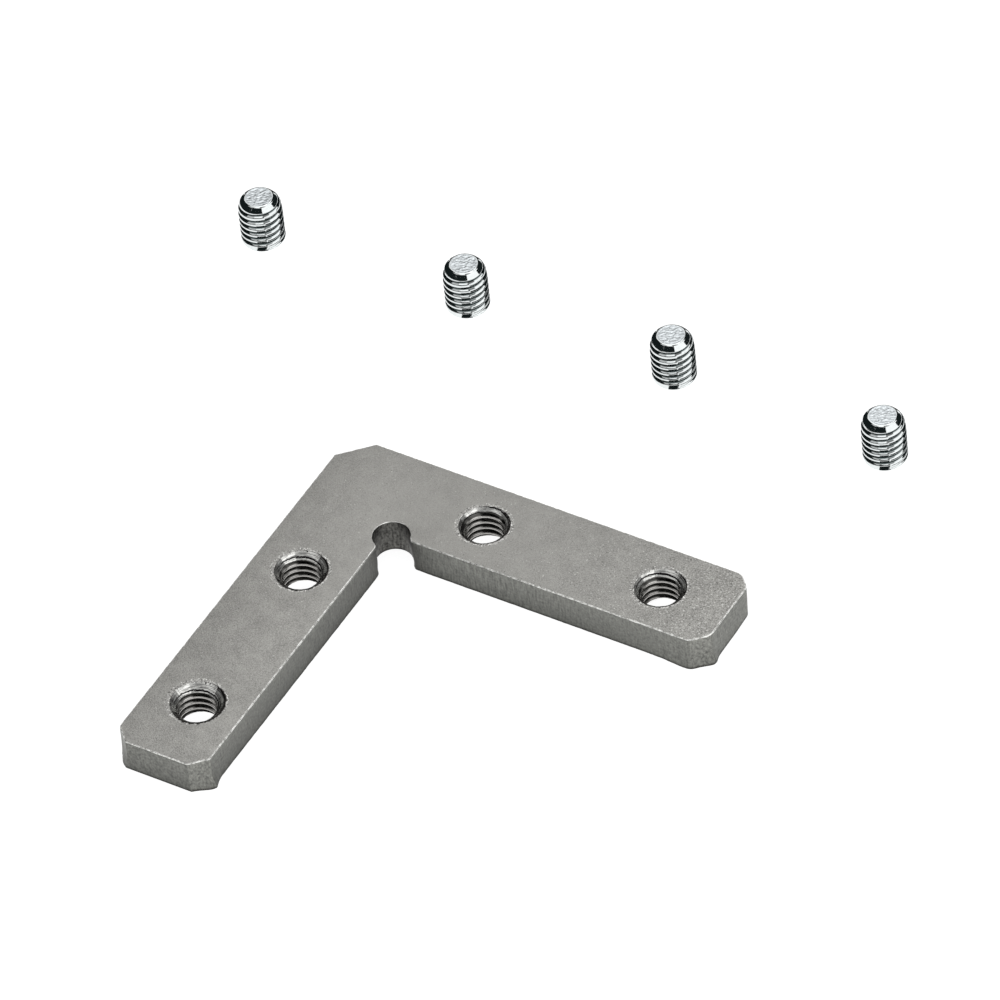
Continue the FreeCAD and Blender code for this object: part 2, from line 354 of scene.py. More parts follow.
@dataclass(frozen=True)
class ThreadForm:
    """The section of a 60 degree thread, by its pitch and the widths of its flats.

    From a flat crest, the flank falls at 30 degrees off the level plane to a flat root. Both
    ends of the flank are eased by a hyperbola, as wear and rolling leave them.
    """

    pitch: float
    depth: float
    crest_flat: float
    ease: float
    steps: int

    def fall(self, along: Array) -> Array:
        """How far below the crest the surface lies.

        Args:
            along: Distance along the axis from the middle of any crest.

        Returns:
            Distance below the crest, from 0 to the thread's depth.
        """
        off = np.abs((along / self.pitch + 0.5) % 1.0 - 0.5) * self.pitch
        slope = (off - self.crest_flat / 2) / math.tan(math.radians(30))
        lower = self._ease(slope)
        return self.depth - self._ease(self.depth - lower)

    def _ease(self, value: Array) -> Array:
        """The larger of the value and nothing, with a rounded turn between the two."""
        return softly(value, 0.0, self.ease)


def helix_grid(form: ThreadForm, middle: float, low: float, high: float, columns: int) -> tuple[Array, ...]:
    """Rows that climb with the thread, one pitch in each turn, held between two levels.

    Row k stands at k steps plus the turned share of a pitch, so that crests and roots run along
    rows. Rows that climb past either level collapse onto it, and welding takes them away.

    Args:
        form: The thread.
        middle: Height of a crest's middle where the angle is nothing.
        low: Lowest level.
        high: Highest level.
        columns: Columns in a turn.

    Returns:
        Angle, height and distance below the crest, each rows x (columns + 1).
    """
    step = form.pitch / form.steps
    rows = int(math.ceil((high - low + form.pitch) / step)) + 1
    start = low - form.pitch + step * np.arange(rows)
    turned = np.arange(columns + 1) / columns
    climb = start[:, None] + form.pitch * turned[None, :]
    fall = form.fall(start - middle)[:, None] * np.ones_like(climb)
    angle = TURN * (np.arange(columns + 1) % columns) / columns * np.ones_like(climb)
    return angle, np.clip(climb, low, high), fall


def ring(radius: Array, angle: Array, height: Array, centre: tuple[float, float]) -> Array:
    """Places at a radius, an angle and a height about an upright axis.

    Args:
        radius: Distances from the axis.
        angle: Angles about it.
        height: Heights.
        centre: Where the axis stands.

    Returns:
        Places, with one more dimension of 3.
    """
    radius, angle, height = np.broadcast_arrays(radius, angle, height)
    x = centre[0] + radius * np.cos(angle)
    y = centre[1] + radius * np.sin(angle)
    return np.stack([x, y, height], axis=-1)


@dataclass
class Bend:
    """A round turn of the plate's outline, seen from above."""

    centre: tuple[float, float]
    radius: float
    start: float
    sweep: float
    points: int

    def sample(self) -> tuple[Array, Array]:
        """Places along the arc, and the directions out of the metal there.

        Returns:
            Places and unit directions, each points x 2.
        """
        angle = self.start + self.sweep * np.linspace(0, 1, self.points)
        away = np.stack([np.cos(angle), np.sin(angle)], axis=1)
        places = np.array(self.centre) + self.radius * away
        return places, away * math.copysign(1.0, self.sweep)


@dataclass
class Lump:
    """Metal dragged sideways at the lower edge by the blanking tool.

    The push is a bell along the outline and fades upwards as the square of a cosine.
    """

    place: tuple[float, float]
    push: tuple[float, float]
    width: float
    height: float

    def shift(self, outline: Array, levels: Array) -> Array:
        """How far the wall is pushed out of its true place.

        Args:
            outline: Points x 2 places along the outline.
            levels: Heights of the wall's rows.

        Returns:
            Rows x points x 2 shifts.
        """
        apart = np.hypot(*(outline - np.array(self.place)).T)
        bell = np.exp(-(apart / self.width) ** 2)
        fade = np.cos(np.clip(levels / self.height, 0, 1) * math.pi / 2) ** 2
        return (fade[:, None] * bell[None, :])[..., None] * np.array(self.push)


@dataclass
class CornerPlate:
    """The L-shaped plate: walls round its outline, two faces, a relief and four tapped holes."""

    reach: float
    side: float
    thickness: float
    holes: list[tuple[float, float]]
    bore_radius: float
    corner_bevel: float = 4.0
    end_bevel: float = 2.1
    corner_radius: float = 0.25
    soft_radius: float = 1.5
    relief_radius: float = 2.5
    relief_offset: tuple[float, float] = (0.75, 0.2)
    mouth_radius: float = 0.7
    worn_bevel: float = 1.8
    rim: float = 0.13
    relief_rim: float = 0.06
    under_rim: float = 0.05
    rim_wobble: float = 0.02
    rim_limits: tuple[float, float] = (0.06, 0.2)
    rim_steps: int = 5
    # These six set where painted shade falls on the walls and the upper rim: which walls face an arm's side, how far
    # the rim turns, its side away from the camera, and the inner corner.
    facing: float = 0.9
    rim_shade_lean: tuple[float, float] = (math.radians(70), math.radians(20))
    corner_fade: float = 10.0
    corner_shade: float = 0.4
    rim_shade_side: float = math.radians(124)
    corner_shade_reach: float = 30.0
    burr: float = 0.09
    burr_height: float = 1.2
    wall_wave: float = 0.006
    point_spacing: float = 0.24
    wall_rows: int = 13
    wall_calm: float = 0.6
    worn_reach: float = 3.5
    # Painted shade on the walls: its base level, then beside the relief, along the left arm's inner side and at the
    # relief's mouth, each as a strength and a reach in millimetres.
    wall_shade_base: float = 0.25
    near_shade: tuple[float, float] = (0.9, 2.3)
    far_shade: tuple[float, float] = (0.36, 32.0)
    mouth_shade: tuple[float, float] = (0.8, 1.1)
    thread_pitch: float = 1.0
    thread_depth: float = 0.5
    thread_crest: float = 0.22
    thread_ease: float = 0.05
    thread_steps: int = 20
    thread_starts: tuple[float, ...] = (0.525, 0.105, 0.975, 0.805)
    top_mouths: tuple[float, ...] = (3.36, 3.37, 3.48, 3.56)
    mouth_drifts: tuple[float, ...] = (0.0, 0.02, 0.05, 0.12)
    under_mouth: float = 3.03
    mouth_wobble: float = 0.014
    join_ease: float = 0.03
    end_reach: float = 0.15
    lip_height: float = 0.03
    lip_width: float = 0.55
    lip_rings: int = 13
    tear_rise: float = 0.15
    tear_jag: float = 0.015
    tear_width: float = 0.06
    tear_depth: float = 0.05
    tear_strength: tuple[float, float] = (0.6, 0.7)
    # Painted shade at the cone's upper edge: a base and a swing of its strength.
    cone_shade_strength: tuple[float, float] = (0.4, 1.3)
    shade_strength: tuple[float, float] = (0.75, 0.75)
    ridge_width: float = 0.12
    rough_height: float = 0.02
    lip_gather: float = 1.4
    # Place and width of the painted glint just outside the mouth's painted shade.
    glint_place: float = 0.07
    glint_width: float = 0.05
    tear_side: float = math.radians(85)
    shade_side: float = math.radians(-10)
    # Side on which the painted shade at the cone's upper edge is strongest.
    cone_shade_side: float = math.radians(-25)
    # Side on which the painted shade round the mouth is widest.
    near_side: float = math.radians(-75)
    shade_widths: tuple[float, ...] = (0.08, 0.09, 0.13, 0.17)
    hole_columns: int = 150
    lumps: list[Lump] = field(default_factory=list)

    @classmethod
    def from_frame(cls) -> "CornerPlate":
        """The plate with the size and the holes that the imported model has.

        Returns:
            The plate.
        """
        high = np.array(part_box("corner_plate")[1]) / MM
        tapped = [mount for mount in RECORD["mounts"] if mount["kind"] == "threaded_hole"]
        holes = [(mount["pos_m"][0] / MM, mount["pos_m"][1] / MM) for mount in tapped]
        side = float(high[1])
        reach = float(high[0])
        plate = cls(reach=reach, side=side, thickness=float(high[2]), holes=holes,
                    bore_radius=tapped[0]["dims"]["r_mm"])
        plate.lumps = [
            Lump((side - 0.5, plate.end_bevel - reach - 0.4), (0.66, 0.0), 1.3, 2.0),
            Lump((1.2 - side, 0.9 - reach), (-0.22, -0.3), 1.3, 3.2),
            Lump((reach - 3.0, -side), (0.1, -0.28), 2.6, 2.0),
            Lump((reach - 0.2, plate.end_bevel - side - 0.3), (0.42, 0.0), 1.2, 2.2),
            Lump((reach, side - plate.worn_bevel), (-0.08, -0.03), 2.4, 3.6),
            Lump((side + 3.3, 0.1 - side), (0.28, 0.04), 0.8, 3.5),
            Lump((side, -side - 2.7), (-0.06, -0.15), 0.8, 2.5),
        ]
        return plate

    def _bends(self) -> list[Bend]:
        """Every turn of the outline in order, anticlockwise from the left arm's end.

        Returns:
            The turns, which straight lines join.
        """
        side, reach, bevel, corner = self.side, self.reach, self.end_bevel, self.corner_bevel
        worn = self.worn_bevel
        sharp, soft = self.corner_radius, self.soft_radius
        start = [
            ((bevel - side, -reach), sharp, 225, 270), ((side - bevel, -reach), sharp, 270, 315),
            ((side, bevel - reach), sharp, 315, 360),
        ]
        end = [
            ((reach - bevel, -side), soft, 270, 315), ((reach, bevel - side), soft, 315, 360),
            ((reach, side - worn), soft, 0, 45), ((reach - worn, side), soft, 45, 90),
            ((corner - side, side), sharp, 90, 135), ((-side, side - corner), sharp, 135, 180),
            ((-side, bevel - reach), sharp, 180, 225),
        ]
        return [self._rounded(*turn) for turn in start] + self._relief_bends() + \
            [self._rounded(*turn) for turn in end]

    @staticmethod
    def _rounded(point: tuple[float, float], radius: float, start: float, end: float) -> Bend:
        """A corner of the outline, rounded to touch both edges.

        Args:
            point: The sharp corner.
            radius: Radius of the rounding.
            start: Direction out of the metal before the corner, in degrees.
            end: Direction out of the metal after it, in degrees.

        Returns:
            The turn.
        """
        half = math.radians(end - start) / 2
        middle = math.radians(start) + half
        back = radius / math.cos(half)
        centre = (point[0] - back * math.cos(middle), point[1] - back * math.sin(middle))
        return Bend(centre, radius, math.radians(start), 2 * half, 5 + int(radius * 6))

    def _relief_bends(self) -> list[Bend]:
        """The round relief with the rounding at either side of its mouth.

        Each rounding touches its straight edge from inside the metal and the relief's circle
        from outside, so its centre lies one radius in from the edge and the sum of both radii
        from the relief's centre.

        Returns:
            The turn at the left edge, the relief and the turn at the right edge.
        """
        x = self.side + self.relief_offset[0]
        y = -self.side - self.relief_offset[1]
        small = self.mouth_radius
        both = self.relief_radius + small
        left = (self.side - small, y - math.sqrt(both ** 2 - (self.side - small - x) ** 2))
        right = (x + math.sqrt(both ** 2 - (small - self.side - y) ** 2), small - self.side)
        to_left = math.atan2(y - left[1], x - left[0])
        to_right = math.atan2(right[1] - y, right[0] - x)
        return [
            Bend(left, small, 0.0, to_left, 9),
            Bend((x, y), self.relief_radius, to_left + math.pi, to_right - to_left - math.pi, 73),
            Bend(right, small, to_right + math.pi, math.pi / 2 - to_right, 9),
        ]

    def outline(self) -> tuple[Array, Array, Array]:
        """The closed outline: the turns, and straight runs of evenly spaced points between them.

        Returns:
            Places and directions out of the metal, points x 2, and how far each point belongs
            to the relief, from 0 to 1.
        """
        bends = self._bends()
        places, away, relief = [], [], []
        for bend, following in zip(bends, bends[1:] + bends[:1]):
            points, outward = bend.sample()
            target = following.sample()[0][0]
            gap = target - points[-1]
            count = max(2, int(np.hypot(*gap) / self.point_spacing))
            share = np.arange(1, count)[:, None] / count
            places += [points, points[-1] + gap * share]
            away += [outward, np.repeat(outward[-1:], count - 1, axis=0)]
            belongs = 1.0 if bend.sweep < 0 else 0.0
            relief += [np.full(len(points), belongs), np.zeros(count - 1)]
        return np.concatenate(places), np.concatenate(away), np.concatenate(relief)

    def _legs(self, run: Array, relief: Array, seed: int) -> Array:
        """Width of the broken rim along the outline: uneven, and narrow round the relief.

        Args:
            run: Places along the outline, in millimetres.
            relief: How far each point belongs to the relief, from 0 to 1.
            seed: Seed of the unevenness.

        Returns:
            One width for each point.
        """
        wobble = self.rim_wobble * Ripple(seed, 0.45, 4.0).along(run, float(run[-1]))
        leg = np.clip(self.rim + wobble, *self.rim_limits)
        return leg * (1 - relief) + self.relief_rim * relief

    def _painted_wall_shade(self, places: Array, away: Array, lean: Array, rows: int) -> Array:
        """Painted shade on the wall: beside the relief and at its mouth, along the left arm's inner
        side, on the lower rim, and on the upper rim where it faces away from the camera and near
        the inner corner.

        Args:
            places: Places along the outline, points x 2.
            away: Directions out of the metal, points x 2.
            lean: How far each row of a rim has turned from the wall to the face, rows x 1.
            rows: Rows of the whole wall.

        Returns:
            Depths, rows x points.
        """
        relief = self._relief_bends()[1]
        beyond = np.hypot(*(places - np.array(relief.centre)).T) - relief.radius
        left_side = (away[:, 0] > self.facing) & (places[:, 0] < 2 * self.side)
        # Painted shade beside the relief and, fainter, along the left arm's inner side; on the relief's own wall it
        # is strongest at the mouth.
        shaded = np.maximum(fading(beyond, *self.near_shade), fading(beyond, *self.far_shade) * left_side)
        from_mouth = np.hypot(*(places[:, None] - relief.sample()[0][[0, -1]][None]).T).min(axis=0)
        shaded = np.where(beyond < 0.005, fading(from_mouth, *self.mouth_shade), shaded)
        depth = np.repeat(self.wall_shade_base + (1 - self.wall_shade_base) * shaded[None], rows, axis=0)
        # Painted shade along the whole lower rim, where the plate meets the floor.
        depth[:len(lean)] = 1.0
        # Painted shade on the upper rim where it faces away from the camera, and near the right arm's inner corner.
        far_rim_shade = np.clip(away @ np.array([math.cos(self.rim_shade_side), math.sin(self.rim_shade_side)]), 0, 1)
        begin, reach = self.rim_shade_lean
        outside = np.clip((begin - lean) / reach, 0, 1)
        inner_side = (away[:, 1] < -self.facing) & (places[:, 1] > -2 * self.side)
        corner = np.clip((self.corner_shade_reach - places[:, 0]) / self.corner_fade, 0, self.corner_shade)
        corner = corner * inner_side
        depth[-len(lean):] = np.maximum(outside * far_rim_shade[None], corner[None])
        return depth

    def _add_walls(self, skin: Skin) -> tuple[Array, Array]:
        """The wall round the plate, with the rims of both faces eased by a quarter round.

        Its lowest part flares outwards as the square of the way down, where the metal tore off.

        Args:
            skin: Where the faces go.

        Returns:
            The rims of the upper and the lower face, points x 2.
        """
        places, away, relief = self.outline()
        steps = np.hypot(*(np.roll(places, -1, axis=0) - places).T)
        run = np.concatenate([[0.0], np.cumsum(steps)])
        ends = np.append(np.arange(len(places)), 0)
        places, away, relief = places[ends], away[ends], relief[ends]
        upper = self._legs(run, relief, 11)
        lower = np.full_like(upper, self.under_rim)
        lean = np.linspace(0, math.pi / 2, self.rim_steps)[:, None]
        level = np.linspace(0, 1, self.wall_rows)[1:-1, None]
        middle = lower + (self.thickness - lower - upper) * level
        heights = np.concatenate([lower * (1 - np.cos(lean)), middle,
                                  self.thickness - upper * (1 - np.sin(lean))])
        insets = np.concatenate([lower * (1 - np.sin(lean)), np.zeros_like(middle),
                                 upper * (1 - np.cos(lean))])
        rise = heights.mean(axis=1)
        face = clear_of_ends(heights, self.thickness, self.wall_calm)
        ripple = Ripple(13, 0.5, 5.0).along(run, float(run[-1]))[None, :]
        wave = self.wall_wave * ripple * face
        worn_corner = np.array([self.reach, self.side - self.worn_bevel])
        straight = 1 - np.exp(-(np.hypot(*(places - worn_corner).T) / self.worn_reach) ** 2)
        flare = np.clip(1 - heights / self.burr_height, 0, 1) ** 2 * (1 - relief) * straight
        wave += self.burr * flare * (1 + 0.1 * ripple)
        spots = places[None] + away[None] * (wave - insets)[..., None]
        spots += sum(lump.shift(places, rise) for lump in self.lumps)
        spots[..., 1] = np.maximum(spots[..., 1], -self.reach)
        points = np.concatenate([spots, heights[..., None]], axis=2)
        chart = np.stack(np.broadcast_arrays(run[None, :], heights), axis=2)
        inner_bevel = away[:-1] @ np.array([math.sqrt(0.5), -math.sqrt(0.5)]) > 0.93
        worked = np.where(inner_bevel, int(Zone.BEVEL), int(Zone.WALL))
        worked = np.where(relief[:-1] > 0.5, int(Zone.RELIEF), worked)
        zone = np.repeat(worked[None], len(rise) - 1, axis=0)
        zone[:len(lean) - 1] = Zone.RIM
        zone[-(len(lean) - 1):] = Zone.RIM
        # The wall's depth carries its painted shade.
        skin.add_grid(points, chart, zone, self._painted_wall_shade(places, away, lean, len(rise)))
        return spots[-1, :-1], spots[0, :-1]

    def _add_hole(self, skin: Skin, centre: tuple[float, float], number: int) -> tuple[Array, Array]:
        """A tapped hole: the thread, a cone at either end and a low lip round the upper mouth.

        The surface's radius is the largest of three: the thread's, and the two cones', each of
        which narrows from its mouth into the metal.

        Args:
            skin: Where the faces go.
            centre: Where its axis stands.
            number: Its number, which seeds its unevenness.

        Returns:
            The rims in the upper and the lower face, points x 2.
        """
        top = self.thickness
        form = ThreadForm(self.thread_pitch, self.thread_depth, self.thread_crest, self.thread_ease,
                          self.thread_steps)
        start = self.thread_starts[number]
        angle, height, fall = helix_grid(form, start, 0.0, top, self.hole_columns)
        around = angle / TURN
        uneven = self.mouth_wobble * Ripple(30 + number, 0.012, 0.3).along(around, 1.0)
        thread = self.bore_radius + fall
        mouth = self.top_mouths[number] + self.mouth_drifts[number] * np.cos(angle - self.shade_side)
        upper = mouth + uneven - (top - height)
        lower = self.under_mouth + np.maximum(uneven, -0.02) - height
        cone = np.maximum(upper, lower)
        radius = softly(thread, cone, self.join_ease * clear_of_ends(height, top, self.end_reach))
        on_cone = cone > thread
        cells = on_cone[:-1, :-1] & on_cone[1:, 1:]
        zone = np.where(cells, int(Zone.CONE), int(Zone.THREAD))
        jagged = self.tear_jag * Ripple(40 + number, 0.008, 0.1).along(around, 1.0)
        turn = np.arange(self.hole_columns + 1) / self.hole_columns
        above = (height - start - form.pitch * turn - self.tear_rise - jagged + 0.5) % 1.0 - 0.5
        strong = towards(angle, self.tear_side, *self.tear_strength)
        tear = strong * np.exp(-(above / self.tear_width) ** 2) * (on_cone & (height > top / 2))
        # Painted shade along the cone's upper edge, strongest on one side, together with the edge's real chips.
        shade_weight = towards(angle, self.cone_shade_side, *self.cone_shade_strength)
        chips = Ripple(110 + number, 0.008, 0.04).along(around, 1.0)
        chipped = np.clip(1.6 * chips - 1.6, 0, 1) * (0.2 + 0.8 * np.clip(np.sin(angle), 0, 1))
        edge = np.maximum(shade_weight, chipped) * np.clip(1.5 - (top - height) / self.shade_widths[number], 0, 1)
        # On the cone the depth holds the tear line, the chips and the edge's painted shade; on the thread it is
        # painted shade that grows from crest to root.
        depth = np.where(on_cone, np.maximum(tear, edge), fall / form.depth)
        sunk = self.tear_depth * tear * np.clip((top - height) / 0.1, 0, 1)
        points = ring(radius, angle, height - sunk, centre)
        chart = np.stack([self.bore_radius * TURN * turn * np.ones_like(height), height], axis=2)
        skin.add_grid(points, chart, zone, depth, turned=True)
        outer = self._add_lip(skin, radius[-1], angle[-1], centre, number)
        return outer, points[0, :-1, :2]

    def _add_lip(self, skin: Skin, rim: Array, angle: Array, centre: tuple[float, float],
                 number: int) -> Array:
        """The raised and chipped metal round an upper mouth, which runs out into the face.

        The height is a low ridge at the mouth plus unevenness, both of which fade outwards.
        The depth carries painted shade at the mouth's very edge, strongest on one side and widest on the near side,
        and just outside it a painted highlight, the glint.

        Args:
            skin: Where the faces go.
            rim: Radius of the mouth at each column.
            angle: Angle of each column.
            centre: Where the hole's axis stands.
            number: The hole's number, which seeds the unevenness.

        Returns:
            The outer edge, points x 2.
        """
        share = np.linspace(0, 1, self.lip_rings)[:, None] ** self.lip_gather
        radius = rim[None] * (1 - share) + (self.top_mouths[number] + self.lip_width) * share
        flat = ring(radius, angle[None], np.full_like(radius, self.thickness), (0.0, 0.0))
        rough = Ripple(60 + number, 0.12, 0.7, 40).over(flat[..., 0], flat[..., 1])
        around = Ripple(50 + number, 0.03, 0.4).along(angle / TURN, 1.0)[None]
        ridge = self.lip_height * np.exp(-(share / self.ridge_width) ** 2)
        ridge = ridge * np.clip(0.6 + 0.4 * around, 0.1, 1.3)
        begun = np.minimum(share * 8, 1)
        fade = begun * (1 - share)
        flat[..., 2] += ridge * begun + self.rough_height * rough * fade
        flat[-1, :, 2] = self.thickness
        chart = np.stack([self.bore_radius * angle[None] * np.ones_like(radius), radius], axis=2)
        flat[..., :2] += np.array(centre)
        jagged = 1 + 0.2 * Ripple(80 + number, 0.01, 0.12).along(angle / TURN, 1.0)[None]
        # Painted shade at the mouth's edge, strongest on one side and widest on the near side, then a painted glint
        # just outside it, carried as negative depth.
        shade_weight = towards(angle, self.shade_side, *self.shade_strength)[None]
        width = self.shade_widths[number] * np.clip(jagged, 0.4, 1.4) * shade_weight + 1e-6
        width *= 1 + towards(angle, self.near_side, 0.0, 1.0)[None]
        shade = shade_weight * np.clip(1.5 - (radius - rim[None]) / width, 0, 1)
        glint = np.clip(Ripple(90 + number, 0.015, 0.15).along(angle / TURN, 1.0)[None] + 0.3, 0, 1)
        glint *= 0.65 + 0.35 * shade_weight
        off = radius - rim[None] - 1.5 * width - self.glint_place
        shade -= glint * np.exp(-(off / self.glint_width) ** 2)
        zone = np.full((self.lip_rings - 1, len(angle) - 1), int(Zone.LIP))
        skin.add_grid(flat, chart, zone, shade, turned=True)
        return flat[-1, :-1, :2]

    def build(self) -> bpy.types.Object:
        """Make the whole plate as one closed mesh with its finishes.

        Returns:
            The piece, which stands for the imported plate.
        """
        skin = Skin()
        upper, lower = self._add_walls(skin)
        rims = [self._add_hole(skin, centre, number) for number, centre in enumerate(self.holes)]
        skin.add_flat([upper] + [pair[0] for pair in rims], self.thickness, int(Zone.FACE), True)
        skin.add_flat([lower] + [pair[1] for pair in rims], 0.0, int(Zone.FACE), False)
        finishes = [BLASTED.material(), SHEARED.material(), BURNISHED.material(), MILLED.material(),
                    TURNED.material(), TAPPED.material(), CHIPPED.material(), CHOPPED.material()]
        plate = skin.piece("steel_corner_plate", finishes, int(Zone.FACE))
        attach(plate, "root")
        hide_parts("corner_plate")
        return plate


@dataclass
class SetScrew:
    """A set screw stood on its socket end: rolled thread, flat point above, hexagon socket below."""

    node: str
    centre: tuple[float, float]
    length: float
    crest_radius: float
    pitch: float = 1.0
    thread_depth: float = 0.58
    crest_flat: float = 0.27
    thread_ease: float = 0.08
    thread_steps: int = 28
    groove_ease: float = 0.05
    bevel_ease: float = 0.12
    end_reach: float = 0.15
    point_bevel: float = 1.06
    end_bevel: float = 0.85
    edge_drop: float = 0.13
    run_out: float = 0.1
    foot_level: float = 1.4
    foot_height: float = 0.35
    steep_bevel: float = 0.4
    taper_level: float = 5.0
    taper: float = 0.12
    dent_depth: float = 0.046
    dent_side: float = 34.0
    dent_limit: float = 1.6
    dent_stretch: tuple[float, float] = (0.7, 1.4)
    edge_rings: int = 6
    middle: float = 0.7
    socket_flats: float = 3.0
    socket_depth: float = 3.5
    mouth_margin: float = 0.12
    columns: int = 192
    point_rings: int = 34

    @classmethod
    def from_frame(cls, node: str) -> "SetScrew":
        """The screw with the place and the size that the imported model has.

        Args:
            node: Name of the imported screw.

        Returns:
            The screw.
        """
        low, high = (np.array(corner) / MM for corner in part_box(node))
        middle = (low + high) / 2
        return cls(node, (float(middle[0]), float(middle[1])), float(high[2]),
                   float(high[0] - low[0]) / 2)

    def _add_shank(self, skin: Skin) -> Array:
        """The threaded side between the two bevels.

        The surface's radius is the smallest of three, with rounded turns between them: the
        thread's, and the two bevels', which slope at 45 degrees, the point's more steeply below.
        Towards the point the groove grows shallower, and towards the socket end it runs out
        and leaves a plain foot.

        Args:
            skin: Where the faces go.

        Returns:
            Angle of each column.
        """
        top = self.length - self.edge_drop
        form = ThreadForm(self.pitch, self.thread_depth, self.crest_flat, self.thread_ease,
                          self.thread_steps)
        angle, height, fall = helix_grid(form, self.middle, 0.0, top, self.columns)
        slope = np.clip((height - self.taper_level) / (self.length - 1 - self.taper_level), 0, 1)
        foot = np.clip((self.foot_level - height) / self.foot_height, 0, 1)
        fall = fall - self.run_out * slope - self.thread_depth * foot
        fall = softly(fall, 0.0, self.groove_ease)
        thread = self.crest_radius - self.taper * slope * slope * (3 - 2 * slope) - fall
        down = self.length - height
        steep = self.point_bevel - self.steep_bevel
        point = self.crest_radius - self.point_bevel + np.minimum(down, steep + (down - steep) / 2)
        end = self.crest_radius - self.end_bevel + height
        bevel = np.minimum(point, end)
        radius = softly(thread, bevel, self.bevel_ease, -1)
        eased = clear_of_ends(height, top, self.end_reach)
        radius = radius * eased + np.minimum(thread, bevel) * (1 - eased)
        # Painted shade that grows from crest to root of the thread; none on the bevels.
        depth = np.where(bevel < thread, 0.0, fall / form.depth)
        turn = np.arange(self.columns + 1) / self.columns
        chart = np.stack([self.crest_radius * TURN * turn * np.ones_like(height), height], axis=2)
        skin.add_grid(ring(radius, angle, height, self.centre), chart, int(Part.SHANK), depth)
        return angle[0]

    def _add_point(self, skin: Skin, angle: Array) -> None:
        """The flat point: a rounded edge, then rings to its middle, uneven where it was cropped.

        The edge is a parabola that leaves the bevel at 45 degrees and meets the face level.

        Args:
            skin: Where the faces go.
            angle: Angle of each column.
        """
        outer = self.crest_radius - self.point_bevel + self.edge_drop
        inner = outer - 2 * self.edge_drop
        along = np.linspace(0, 1, self.edge_rings)[:, None]
        round_radius = outer + (inner - outer) * along
        round_height = self.length - self.edge_drop * (1 - along) ** 2
        share = np.linspace(1, 0, self.point_rings)[1:, None]
        radius = np.concatenate([round_radius, inner * share])
        height = np.concatenate([round_height, np.full_like(share, self.length)])
        place = ring(radius, angle[None], height, (0.0, 0.0))
        drawn = math.radians(self.dent_side)
        along_marks = place[..., 0] * math.cos(drawn) + place[..., 1] * math.sin(drawn)
        across_marks = place[..., 1] * math.cos(drawn) - place[..., 0] * math.sin(drawn)
        longer, shorter = self.dent_stretch
        dents = Ripple(71, 0.35, 1.0, 48).over(along_marks * longer, across_marks * shorter)
        level = np.concatenate([np.zeros_like(along), np.clip((1 - share) * 8, 0, 1)])
        limit = self.dent_limit
        place[..., 2] -= self.dent_depth * (limit + np.clip(dents, -limit, limit)) / (2 * limit) * level
        chart = place[..., :2].copy()
        place[..., :2] += np.array(self.centre)
        zone = np.full((len(place) - 1, place.shape[1] - 1), int(Part.POINT))
        zone[:len(along) - 1] = Part.SHANK
        skin.add_grid(place, chart, zone)

    def _add_socket(self, skin: Skin, angle: Array) -> None:
        """The end face, the socket's cone mouth, its six sides and its drilled tip.

        The hexagon's radius at an angle is half its width across flats, divided by the cosine
        of the angle from the nearest flat's middle. Both cones rise at 30 degrees.

        Args:
            skin: Where the faces go.
            angle: Angle of each column.
        """
        half = self.socket_flats / 2
        nearest = (angle + 1e-9) % (TURN / 6) - TURN / 12
        hexagon = half / np.cos(nearest)
        mouth = half / math.cos(TURN / 12) + self.mouth_margin
        slope = math.tan(math.radians(30))
        deep = np.full_like(hexagon, self.socket_depth)
        flat = np.zeros_like(hexagon)
        radii = [flat + self.crest_radius - self.end_bevel, flat + mouth, hexagon, hexagon, flat + half, flat]
        heights = [flat, flat, (mouth - hexagon) * slope, deep, deep, deep + half * slope]
        radius = np.stack(radii)
        height = np.stack(heights)
        run = np.cumsum(np.hypot(np.diff(radius, axis=0, prepend=radius[:1]),
                                 np.diff(height, axis=0, prepend=height[:1])), axis=0)
        chart = np.stack([angle[None] * 2 * np.ones_like(run), run], axis=2)
        skin.add_grid(ring(radius, angle[None], height, self.centre), chart, int(Part.SOCKET), turned=True)

    def build(self) -> bpy.types.Object:
        """Make the screw as one closed mesh with its finishes.

        Returns:
            The piece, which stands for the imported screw.
        """
        skin = Skin()
        angle = self._add_shank(skin)
        self._add_point(skin, angle)
        self._add_socket(skin, angle)
        finishes = [ZINC.material(), CROPPED.material(), PUNCHED.material()]
        screw = skin.piece(self.node.replace("set_screw", "zinc_set_screw"), finishes)
        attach(screw, "root")
        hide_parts(self.node)
        return screw


